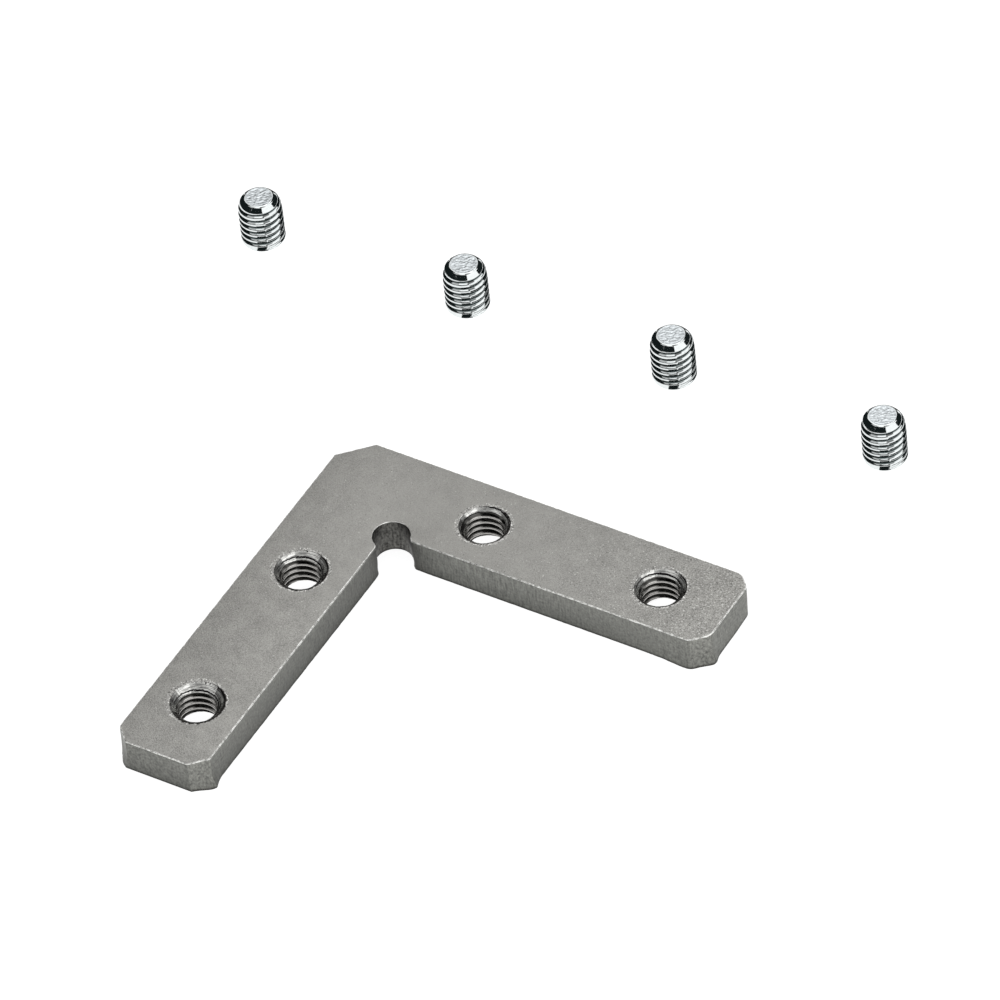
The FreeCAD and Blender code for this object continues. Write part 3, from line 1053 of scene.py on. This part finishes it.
class Nodes:
    """The nodes of one material, with short ways to add and join them."""

    def __init__(self, name: str) -> None:
        """Make a material with a shader and an output.

        Args:
            name: Name of the material.
        """
        self.material = bpy.data.materials.new(name)
        self.material.use_nodes = True
        self.material.cycles.emission_sampling = "NONE"
        self.tree = self.material.node_tree
        self.tree.nodes.clear()
        self.shader = self.add("BsdfPrincipled")
        self.output = self.add("OutputMaterial")
        self.tree.links.new(self.shader.outputs["BSDF"], self.output.inputs["Surface"])

    def add(self, kind: str, inputs: dict[str | int, Any] | None = None, **settings: Any) -> bpy.types.Node:
        """Add a node.

        Args:
            kind: Its type, without the leading ShaderNode.
            inputs: A value for each named or numbered input, or the output that feeds it.
            settings: Its own settings.

        Returns:
            The node.
        """
        node = self.tree.nodes.new("ShaderNode" + kind)
        for key, value in settings.items():
            setattr(node, key, value)
        for key, value in (inputs or {}).items():
            self.feed(node, key, value)
        return node

    def feed(self, node: bpy.types.Node, key: str | int, value: Any) -> None:
        """Set an input, or join it to the output that feeds it.

        Args:
            node: The node with the input.
            key: The input's name or number.
            value: A plain value or another node's output.
        """
        if isinstance(value, Socket):
            self.tree.links.new(value, node.inputs[key])
        else:
            node.inputs[key].default_value = value

    def let_through(self, share: Socket) -> None:
        """Make the surface clear where the share is one.

        Args:
            share: How clear it is, from 0 to 1.
        """
        clear = self.add("BsdfTransparent").outputs["BSDF"]
        mixed = self.add("MixShader", {0: share, 1: self.shader.outputs["BSDF"], 2: clear})
        self.tree.links.new(mixed.outputs["Shader"], self.output.inputs["Surface"])

    def object_place(self) -> Socket:
        """The place on the object, in metres."""
        return self.add("TexCoord").outputs["Object"]

    def chart_place(self) -> Socket:
        """The place along the surface, in metres: round or along it, then up or across it."""
        return self.add("UVMap", uv_map="chart").outputs["UV"]

    def stretched(self, place: Socket, scale: Colour, tilt: float = 0.0) -> Socket:
        """Pattern coordinates turned and then stretched.

        Args:
            place: The coordinates.
            scale: Repeats for each metre, one for each axis.
            tilt: Degrees turned about the third axis.

        Returns:
            The new coordinates.
        """
        node = self.add("Mapping", {"Vector": place, "Rotation": (0, 0, math.radians(tilt)), "Scale": scale})
        return node.outputs["Vector"]

    def noise(self, place: Socket, scale: float, detail: float = 3.0,
              rough: float = 0.55) -> Socket:
        """Cloudy noise, from 0 to 1."""
        inputs = {"Vector": place, "Scale": scale, "Detail": detail, "Roughness": rough}
        return self.add("TexNoise", inputs, noise_dimensions="3D").outputs["Fac"]

    def spread(self, value: Socket, low: float, high: float, to_low: float = 0.0,
               to_high: float = 1.0) -> Socket:
        """A value stretched from one range to another and held inside it."""
        inputs = {"Value": value, "From Min": low, "From Max": high, "To Min": to_low, "To Max": to_high}
        return self.add("MapRange", inputs, clamp=True).outputs["Result"]

    def math(self, operation: str, first: Any, second: Any) -> Socket:
        """One sum on two values."""
        return self.add("Math", {0: first, 1: second}, operation=operation).outputs["Value"]

    def blend(self, share: Any, first: Any, second: Any) -> Socket:
        """Two colours mixed by a share.

        Args:
            share: Share of the second colour.
            first: A colour or an output.
            second: A colour or an output.

        Returns:
            The mixed colour.
        """
        node = self.add("Mix", data_type="RGBA")
        for key, value in ((0, share), (6, first), (7, second)):
            self.feed(node, key, (*value, 1.0) if isinstance(value, tuple) else value)
        return node.outputs[2]

    def length(self, place: Socket) -> Socket:
        """How far a place is from the origin, in metres."""
        return self.add("VectorMath", {0: place}, operation="LENGTH").outputs["Value"]

    def bump(self, height: Socket, distance: float, strength: float = 1.0) -> Socket:
        """The surface's direction, tilted by a height pattern of a depth in millimetres."""
        inputs = {"Height": height, "Distance": distance * MM, "Strength": strength}
        return self.add("Bump", inputs).outputs["Normal"]

    def metal(self, colour: Socket, roughness: Any, normal: Socket) -> Material:
        """Join the patterns to the shader, as bare metal.

        Args:
            colour: Colour of the reflection.
            roughness: A plain number, or a pattern's output.
            normal: The tilted surface.

        Returns:
            The finished material.
        """
        self.shader.inputs["Metallic"].default_value = 1.0
        for key, value in (("Base Color", colour), ("Roughness", roughness), ("Normal", normal)):
            self.feed(self.shader, key, value)
        return self.material


# Where patterns change over the plate, in millimetres from the origin or from the calm middle.
CALM_MIDDLE = 12.0
GRAIN_GROWS = (6.0, 30.0)
MARKS_CALM_DOWN = (12.0, 40.0)
ARM_ENDS = (44.0, 51.0)


def tone(colour: Colour, share: float) -> Colour:
    """A colour made lighter or darker by a share."""
    return tuple(min(1.0, part * share) for part in colour)


@dataclass(frozen=True)
class Blasted:
    """Steel blasted or tumbled to a matt grey, with a fine grain and soft clouds.

    Nicks are small bright and dark spots where the noise is at its highest and lowest. The
    depth that the mesh carries is painted shade, which takes the tone down to black, and below
    nothing a painted highlight up to bare metal. The grain is calm near the object's origin and
    grows away from it, and there are more nicks towards the end of the first axis, where a worn
    stretch is given.
    """

    name: str
    colour: Colour
    grain: float
    clouds: float
    contrast: float
    roughness: float
    bump: float
    nick_size: float = 0.22
    bright_nicks: float = 0.75
    dark_nicks: float = 0.26
    nick_strength: float = 0.0
    calm: float = 1.0
    worn: tuple[float, float] = (0.0, 1.0)
    worn_more: float = 0.0

    def material(self) -> Material:
        """The finish as a material: clouds and grain of tone, nicks, and fine bumps.

        Returns:
            The material.
        """
        nodes = Nodes(self.name)
        place = nodes.object_place()
        grain = nodes.noise(place, 1 / (self.grain * MM), 2.0, 0.6)
        colour = self._grained(nodes, place, grain)
        colour = self._nicked(nodes, place, colour)
        rough = nodes.spread(grain, 0.3, 0.7, self.roughness - 0.06, self.roughness + 0.06)
        return nodes.metal(colour, rough, nodes.bump(grain, self.bump))

    def _grained(self, nodes: Nodes, place: Socket, grain: Socket) -> Socket:
        """The tone with its grain and clouds, calm near the origin.

        Args:
            nodes: The material's nodes.
            place: The place on the object.
            grain: The fine noise.

        Returns:
            The colour.
        """
        clouds = nodes.noise(place, 1 / (self.clouds * MM), 3.0, 0.6)
        mixed = nodes.math("ADD", nodes.math("MULTIPLY", grain, 0.75), nodes.math("MULTIPLY", clouds, 0.25))
        share = nodes.spread(mixed, 0.32, 0.68)
        if self.calm < 1:
            middle = (CALM_MIDDLE * MM, 0, 0)
            offset = nodes.add("VectorMath", {0: place, 1: middle}, operation="SUBTRACT")
            away = nodes.length(offset.outputs["Vector"])
            near, far = GRAIN_GROWS
            strength = nodes.spread(away, near * MM, far * MM, self.calm, 0.88)
            share = nodes.math("MULTIPLY", nodes.math("SUBTRACT", share, 0.5), strength)
            share = nodes.math("ADD", share, 0.5)
        return nodes.blend(share, tone(self.colour, 1 - self.contrast), tone(self.colour, 1 + self.contrast))

    def _nicked(self, nodes: Nodes, place: Socket, colour: Socket) -> Socket:
        """The tone with bright and dark nicks, and with the painted shade and painted highlight that the mesh's depth
        carries.

        Args:
            nodes: The material's nodes.
            place: The place on the object.
            colour: The tone without nicks.

        Returns:
            The colour.
        """
        if self.nick_strength == 0:
            return colour
        nicks = nodes.noise(place, 1 / (self.nick_size * MM), 1.0, 0.5)
        along = nodes.add("SeparateXYZ", {"Vector": place}).outputs["X"]
        more = nodes.spread(along, self.worn[0] * MM, self.worn[1] * MM, 0.0, self.worn_more)
        bright = nodes.spread(nodes.math("ADD", nicks, more), self.bright_nicks - 0.03,
                              self.bright_nicks + 0.03, 0.0, self.nick_strength)
        dark = nodes.spread(nodes.math("SUBTRACT", nicks, more), self.dark_nicks + 0.03,
                            self.dark_nicks - 0.03, 0.0, self.nick_strength)
        # The mesh's depth: painted shade above nothing, a painted highlight below it.
        depth = nodes.add("Attribute", attribute_name="depth").outputs["Fac"]
        bright = nodes.math("MAXIMUM", bright, nodes.spread(depth, -0.3, -0.6))
        dark = nodes.math("MAXIMUM", dark, nodes.spread(depth, 0.35, 0.75))
        return nodes.blend(dark, nodes.blend(bright, colour, BARE_AND_GLINT), PITTED_AND_SHADE)


@dataclass(frozen=True)
class Worked:
    """Metal with marks that run one way over it, as a shear, a drill or a rolling die leaves them.

    The depth that the mesh carries takes the tone down to a third colour: painted shade in
    the root of a thread, beside the relief and on parts of the rims, and on a cone also its real
    chips and tear line. On a wall the tone falls from the upper edge to the lower one, though
    less beyond a given place along the first axis, and the marks are calm and the spots strong
    far from the object's origin.
    """

    name: str
    colour: Colour
    dark: Colour
    # The third colour, which the depth leads to: painted shade for the most part.
    deep: Colour
    across: float
    along: float
    tilt: float
    roughness: float
    bump: float
    spots: float = 0.3
    deep_from: float = 0.25
    deep_to: float = 1.0
    softness: float = 0.17
    wall: float = 0.0
    tones: tuple[float, float, float] = (1.0, 1.0, 1.0)
    tone_change: tuple[float, float] = (36.0, 51.0)
    calm: float = 0.35
    end_spots: float = 0.5

    def material(self) -> Material:
        """The finish as a material: streaks of tone and relief in the marks' direction.

        Returns:
            The material.
        """
        nodes = Nodes(self.name)
        scale = (1 / self.across / MM, 1 / self.along / MM, 1.0)
        marks = nodes.noise(nodes.stretched(nodes.chart_place(), scale, self.tilt), 1.0, 3.0, 0.6)
        spots = nodes.noise(nodes.object_place(), 1 / (0.35 * MM), 2.0, 0.5)
        place = nodes.object_place()
        marks_share, spots_share = 1 - self.spots, self.spots
        if self.wall:
            away = nodes.length(place)
            near, far = MARKS_CALM_DOWN
            marks_share = nodes.spread(away, near * MM, far * MM, 1 - self.spots, self.calm)
            near, far = ARM_ENDS
            spots_share = nodes.spread(away, near * MM, far * MM, self.spots, self.end_spots)
        marked = nodes.math("MULTIPLY", nodes.math("SUBTRACT", marks, 0.5), marks_share)
        spotted = nodes.math("MULTIPLY", nodes.math("SUBTRACT", spots, 0.5), spots_share)
        share = nodes.spread(nodes.math("ADD", marked, spotted), -self.softness, self.softness)
        streaked = nodes.blend(share, self.dark, self.colour)
        if self.wall:
            streaked = self._shaded(nodes, place, streaked)
        # The mesh's depth: painted shade, and on a cone also its real chips and tear line.
        depth = nodes.add("Attribute", attribute_name="depth").outputs["Fac"]
        colour = nodes.blend(nodes.spread(depth, self.deep_from, self.deep_to), streaked, self.deep)
        rough = nodes.spread(marks, 0.3, 0.7, self.roughness * 0.85, self.roughness * 1.15)
        return nodes.metal(colour, rough, nodes.bump(marks, self.bump))

    def _shaded(self, nodes: Nodes, place: Socket, colour: Socket) -> Socket:
        """The tone of a wall, which falls from its upper edge to its lower one.

        Args:
            nodes: The material's nodes.
            place: The place on the object.
            colour: The tone without the fall.

        Returns:
            The colour.
        """
        split = nodes.add("SeparateXYZ", {"Vector": place})
        risen = nodes.math("POWER", nodes.spread(split.outputs["Z"], 0.0, self.wall * MM), 0.7)
        low, far_low, high = self.tones
        begin, end = self.tone_change
        bottom = nodes.spread(split.outputs["X"], begin * MM, end * MM, low, far_low)
        level = nodes.add("MapRange", {"Value": risen, "To Min": bottom, "To Max": high}).outputs["Result"]
        scaled = nodes.add("VectorMath", {0: colour, "Scale": level}, operation="SCALE")
        return scaled.outputs["Vector"]


# Bare metal for bright nicks and the painted glint; near black for dark pits and painted shade.
BARE_AND_GLINT = (0.85, 0.85, 0.82)
PITTED_AND_SHADE = (0.02, 0.019, 0.017)
BLASTED = Blasted("blasted steel", (0.33, 0.325, 0.308), 0.15, 2.2, 0.44, 0.42, 0.05,
                  nick_strength=0.5, calm=0.4, worn=(24.0, 52.0), worn_more=0.105)
# Its depth brings the painted shade and the painted glint round each upper mouth.
CHIPPED = Blasted("chipped steel", (0.33, 0.325, 0.31), 0.17, 0.6, 0.45, 0.36, 0.06,
                  nick_size=0.19, bright_nicks=0.64, dark_nicks=0.35, nick_strength=0.75)
# Its third colour is the painted shade beside the relief and along the left arm's inner side.
SHEARED = Worked("sheared steel", (0.242, 0.245, 0.226), (0.097, 0.098, 0.091), (0.03, 0.029, 0.026),
                 0.26, 1.9, 12.0, 0.5, 0.02, spots=0.3, softness=0.125, wall=5.0, tones=(0.62, 1.0, 1.2),
                 end_spots=0.4)
CHOPPED = Worked("chopped bevel", (0.296, 0.298, 0.274), (0.118, 0.119, 0.111), (0.03, 0.029, 0.026),
                 0.25, 0.5, 35.0, 0.45, 0.03, spots=0.45, softness=0.15, wall=5.0, tones=(0.82, 0.82, 1.12),
                 calm=0.7, end_spots=0.45)
# Its third colour is the painted shade of the lower rim, and of the upper rim away from the camera and near the inner
# corner.
BURNISHED = Worked("burnished rim", (1.0, 1.0, 0.97), (0.42, 0.42, 0.4), (0.035, 0.034, 0.03),
                   0.5, 0.3, 0.0, 0.3, 0.01, softness=0.09, deep_from=0.3, deep_to=0.8)
# Darker than the other walls, partly for its milled finish and partly as painted shade in the relief; its third
# colour is the painted shade at the relief's mouth.
MILLED = Worked("milled relief", (0.165, 0.163, 0.152), (0.03, 0.029, 0.027), (0.02, 0.019, 0.018),
                0.25, 1.2, 8.0, 0.42, 0.02, spots=0.45, softness=0.12)
# Its third colour is the painted shade along the cone's upper edge, and also the real chips and tear line.
TURNED = Worked("turned cone", (0.86, 0.86, 0.83), (0.16, 0.16, 0.155), (0.01, 0.01, 0.01),
                1.3, 0.1, 9.0, 0.18, 0.008, 0.15, 0.15, 0.5, softness=0.13)
# Its third colour is the painted shade in the thread's roots; it is also darker towards the hole's lower end.
TAPPED = Worked("tapped thread", (0.82, 0.8, 0.77), (0.52, 0.51, 0.49), (0.1, 0.098, 0.093),
                0.8, 0.1, 0.0, 0.16, 0.006, 0.3, 0.04, 0.4, wall=5.0, tones=(0.45, 0.45, 1.05),
                calm=0.7, end_spots=0.3)
# Its third colour is the painted shade in the thread's roots.
ZINC = Worked("bright zinc", (0.83, 0.86, 0.86), (0.66, 0.7, 0.7), (0.04, 0.055, 0.056),
              1.5, 0.1, 0.0, 0.08, 0.002, 0.3, 0.36, 0.6)
CROPPED = Blasted("cropped zinc point", (0.475, 0.503, 0.517), 0.3, 0.7, 0.3, 0.2, 0.02)
PUNCHED = Worked("punched socket", (0.6, 0.62, 0.64), (0.35, 0.36, 0.38), (0.1, 0.1, 0.1),
                 0.3, 1.5, 0.0, 0.3, 0.01)


# Points along and across a sheet of the studio, and along the radius of one on the floor.
SHEET_COLUMNS = 33
SHEET_ROWS = 17
MAT_ROWS = 9
MAT_LEVEL = 0.02


@dataclass(frozen=True)
class Card:
    """A sheet of the studio, a piece of a sphere, by the angles it spans and its own light.

    Azimuths are counted from the camera's, anticlockwise seen from above.
    """

    azimuths: tuple[float, float]
    elevations: tuple[float, float]
    glow: float
    colour: Colour = (1.0, 1.0, 1.0)

    def _around(self) -> Array:
        """Directions of the sheet's columns, in radians."""
        return np.radians(LENS.azimuth + np.linspace(*self.azimuths, SHEET_COLUMNS))[None, :]

    def grid(self, radius: float, centre: Array) -> Array:
        """Places on the sheet, which faces the sphere's middle.

        Args:
            radius: Radius of the sphere.
            centre: Its middle.

        Returns:
            Rows x columns x 3 places.
        """
        around = self._around()
        up = np.radians(np.linspace(*self.elevations, SHEET_ROWS))[:, None]
        parts = (np.sin(around) * np.cos(up), -np.cos(around) * np.cos(up), np.sin(up))
        return centre + radius * np.stack(np.broadcast_arrays(*parts), axis=2)

    def material(self, reach: float) -> Material:
        """Paper that only shows from the front, and only to what stands nearer than a reach.

        Args:
            reach: The longest ray that meets it, in millimetres.

        Returns:
            The material.
        """
        nodes = Nodes("studio card")
        nodes.shader.inputs["Base Color"].default_value = (0.0, 0.0, 0.0, 1.0)
        nodes.shader.inputs["Roughness"].default_value = 1.0
        nodes.shader.inputs["Specular IOR Level"].default_value = 0.0
        nodes.shader.inputs["Emission Color"].default_value = (*self.colour, 1.0)
        nodes.shader.inputs["Emission Strength"].default_value = self.glow
        behind = nodes.add("NewGeometry").outputs["Backfacing"]
        far = nodes.math("GREATER_THAN", nodes.add("LightPath").outputs["Ray Length"], reach * MM)
        nodes.let_through(nodes.math("MAXIMUM", behind, far))
        return nodes.material


@dataclass(frozen=True)
class Mat(Card):
    """A sheet of the studio that lies on the floor, a piece of a flat ring.

    Its second span, under the name of elevations, is distances from the ring's middle.
    """

    def grid(self, radius: float, centre: Array) -> Array:
        """Places on the sheet, just above the floor and face up.

        Args:
            radius: Not used by a lying sheet.
            centre: The ring's middle.

        Returns:
            Rows x columns x 3 places.
        """
        around = self._around()
        away = np.linspace(*self.elevations, MAT_ROWS)[:, None]
        parts = (centre[0] + away * np.sin(around), centre[1] - away * np.cos(around), MAT_LEVEL)
        return np.stack(np.broadcast_arrays(*parts), axis=2)


def hang_cards(name: str, cards: tuple[Card, ...], radius: float, centre: tuple[float, ...]) -> None:
    """Hang sheets round a place, which only metal near their middle reflects.

    Args:
        name: Name of the set of sheets.
        cards: The sheets.
        radius: How far off they hang.
        centre: What they hang round.
    """
    skin = Skin()
    for number, card in enumerate(cards):
        sheet = card.grid(radius, np.array(centre))
        skin.add_grid(sheet, sheet[..., :2], number, turned=True)
    hung = skin.piece(name, [card.material(1.5 * radius) for card in cards])
    for kind in ("camera", "diffuse", "transmission", "volume_scatter", "shadow"):
        setattr(hung, "visible_" + kind, False)


ROOM_CARDS = (
    Card((-178.0, -87.0), (0.0, 30.0), 0.15),
    Card((106.0, 150.0), (0.0, 36.0), 0.08),
    Card((-100.0, 40.0), (52.0, 80.0), 0.0),
    Card((-138.0, -100.0), (32.0, 60.0), 0.0),
    Card((-87.0, 20.0), (4.0, 52.0), 0.75),
    Card((20.0, 80.0), (18.0, 52.0), 1.5),
    Card((80.0, 106.0), (4.0, 52.0), 0.35),
)
TEAL = (0.7, 0.97, 1.0)
SCREW_CARDS = (
    Card((-185.0, -125.0), (-10.0, 30.0), 0.0135, TEAL),
    Card((-125.0, -85.0), (11.0, 60.0), 0.0135, TEAL),
    Card((-85.0, -50.0), (14.0, 44.5), 0.0135, TEAL),
    Card((-50.0, 11.0), (22.0, 51.0), 0.0135, TEAL),
    Card((-85.0, -50.0), (44.5, 74.0), 0.6),
    Card((-50.0, 1.0), (51.0, 56.0), 0.1),
    Card((-50.0, 1.0), (56.0, 84.0), 1.3),
    Card((1.0, 44.0), (54.0, 84.0), 0.25),
    Card((11.0, 78.0), (18.0, 54.0), 1.25),
    Card((44.0, 78.0), (54.0, 84.0), 1.25),
    Card((78.0, 98.0), (38.0, 75.0), 1.25),
    Card((78.0, 98.0), (14.0, 38.0), 0.0135, TEAL),
    Card((98.0, 120.0), (12.0, 75.0), 0.0135, TEAL),
    Card((120.0, 150.0), (4.0, 60.0), 0.0135, TEAL),
    Card((150.0, 185.0), (-13.0, 26.0), 0.0135, TEAL),
    Mat((-25.0, 11.0), (3.1, 9.0), 0.0135, TEAL),
    Mat((16.0, 205.0), (4.8, 16.0), 0.0135, TEAL),
)


SEEING_RAYS = ("Is Camera Ray", "Is Glossy Ray", "Is Transmission Ray")


@dataclass
class Studio:
    """Pale floor, white surroundings, one soft lamp, cards for the metal, and a long lens."""

    floor_size: float = 6000.0
    floor_own_light: float = 0.9
    floor_colour: float = 0.4
    surroundings: float = 0.6
    lamp_turn: float = 170.0
    lamp_rise: float = 60.0
    lamp_distance: float = 900.0
    lamp_side: float = 400.0
    lamp_power: float = 0.5
    room_radius: float = 900.0
    room_centre: tuple[float, float, float] = (8.0, -6.0, 0.0)
    screw_radius: float = 16.0
    clip: tuple[float, float] = (0.1, 20.0)

    def build(self) -> None:
        """Set the whole studio up."""
        self._add_world()
        self._add_floor()
        self._add_lamps()
        self._add_flags()
        self._add_camera()
        bpy.context.scene.view_settings.view_transform = "Standard"

    def _add_world(self) -> None:
        """White as the background and in the metal, dimmer as a light on matt things."""
        world = bpy.data.worlds.new("studio")
        bpy.context.scene.world = world
        world.use_nodes = True
        world.cycles.sampling_method = "NONE"
        tree = world.node_tree
        path = tree.nodes.new("ShaderNodeLightPath")
        back = tree.nodes["Background"]
        seen = path.outputs[SEEING_RAYS[0]]
        for ray in SEEING_RAYS[1:]:
            larger = tree.nodes.new("ShaderNodeMath")
            larger.operation = "MAXIMUM"
            tree.links.new(seen, larger.inputs[0])
            tree.links.new(path.outputs[ray], larger.inputs[1])
            seen = larger.outputs[0]
        level = tree.nodes.new("ShaderNodeMapRange")
        level.inputs["To Min"].default_value = self.surroundings
        level.inputs["To Max"].default_value = 1.0
        tree.links.new(seen, level.inputs["Value"])
        back.inputs["Color"].default_value = (1, 1, 1, 1)
        tree.links.new(level.outputs[0], back.inputs["Strength"])

    def _add_floor(self) -> None:
        """A flat floor under everything, white to the camera and in the metal."""
        half = self.floor_size / 2
        grid = np.array([[(x, y, 0.0) for x in (-half, half)] for y in (-half, half)])
        skin = Skin()
        skin.add_grid(grid, grid[..., :2], 0)
        nodes = Nodes("studio floor")
        nodes.shader.inputs["Base Color"].default_value = (self.floor_colour,) * 3 + (1.0,)
        nodes.shader.inputs["Roughness"].default_value = 0.9
        path = nodes.add("LightPath")
        seen = path.outputs[SEEING_RAYS[0]]
        for ray in SEEING_RAYS[1:]:
            seen = nodes.math("MAXIMUM", seen, path.outputs[ray])
        nodes.shader.inputs["Emission Color"].default_value = (1, 1, 1, 1)
        nodes.feed(nodes.shader, "Emission Strength", nodes.math("MULTIPLY", seen, self.floor_own_light))
        nodes.let_through(nodes.add("NewGeometry").outputs["Backfacing"])
        floor = skin.piece("studio_floor", [nodes.material])

    def _lamp(self, name: str, place: tuple[float, float, float], size: tuple[float, float],
              power: float) -> None:
        """A soft rectangular lamp that looks at the middle of the object.

        Args:
            name: Its name.
            place: Azimuth and elevation in degrees, and distance in millimetres.
            size: Width and height.
            power: Watts.
        """
        data = bpy.data.lights.new(name, "AREA")
        data.shape = "RECTANGLE"
        data.size, data.size_y = size[0] * MM, size[1] * MM
        data.energy = power
        lamp = linked(name, data)
        lamp.location = Vector(LENS.aim) * MM + LENS.direction(place[0], place[1]) * place[2] * MM
        lamp.rotation_mode = "QUATERNION"
        lamp.rotation_quaternion = (-LENS.direction(place[0], place[1])).to_track_quat("-Z", "Y")
        lamp.visible_camera = False

    def _add_lamps(self) -> None:
        """One large lamp high up, on the far side of the object."""
        place = (LENS.azimuth + self.lamp_turn, self.lamp_rise, self.lamp_distance)
        self._lamp("overhead", place, (self.lamp_side, self.lamp_side), self.lamp_power)

    def _add_flags(self) -> None:
        """Cards that the metal reflects, from dark to bright: a set round all, and one round each screw."""
        hang_cards("studio_cards_room", ROOM_CARDS, self.room_radius, self.room_centre)
        for node in SCREW_NODES:
            low, high = (np.array(corner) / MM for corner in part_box(node))
            centre = (low + high) / 2
            name = node.replace("set_screw", "studio_cards")
            hang_cards(name, SCREW_CARDS, self.screw_radius, tuple(centre))

    def _add_camera(self) -> None:
        """The camera, as far off and as long as the photograph's."""
        data = bpy.data.cameras.new("camera")
        data.lens = LENS.focal
        data.sensor_width = LENS.sensor
        data.clip_start, data.clip_end = self.clip
        camera = linked("camera", data)
        back = LENS.direction(LENS.azimuth, LENS.elevation)
        camera.location = (Vector(LENS.aim) + back * LENS.distance) * MM
        camera.rotation_mode = "QUATERNION"
        roll = Quaternion((0, 0, 1), math.radians(LENS.roll))
        camera.rotation_quaternion = (-back).to_track_quat("-Z", "Y") @ roll
        bpy.context.scene.camera = camera


@dataclass(frozen=True)
class Lens:
    """Where the camera stands, as directions round the object: azimuth 0 looks along +Y."""

    aim: tuple[float, float, float]
    azimuth: float
    elevation: float
    distance: float
    roll: float
    focal: float
    sensor: float = 36.0

    @staticmethod
    def direction(azimuth: float, elevation: float) -> Vector:
        """The unit direction from the object towards an azimuth and elevation in degrees."""
        around, up = math.radians(azimuth), math.radians(elevation)
        return Vector((math.sin(around) * math.cos(up), -math.cos(around) * math.cos(up), math.sin(up)))


LENS = Lens((14.06, 8.94, 0.0), 34.233, 44.863, 1477.8, -6.104, 411.1)


def main() -> None:
    """Build the plate, the screws and the studio, in that order."""
    logging.basicConfig(level=logging.INFO, format="%(name)s: %(message)s")
    CornerPlate.from_frame().build()
    for node in SCREW_NODES:
        SetScrew.from_frame(node).build()
    Studio().build()


if __name__ == "__main__":
    main()
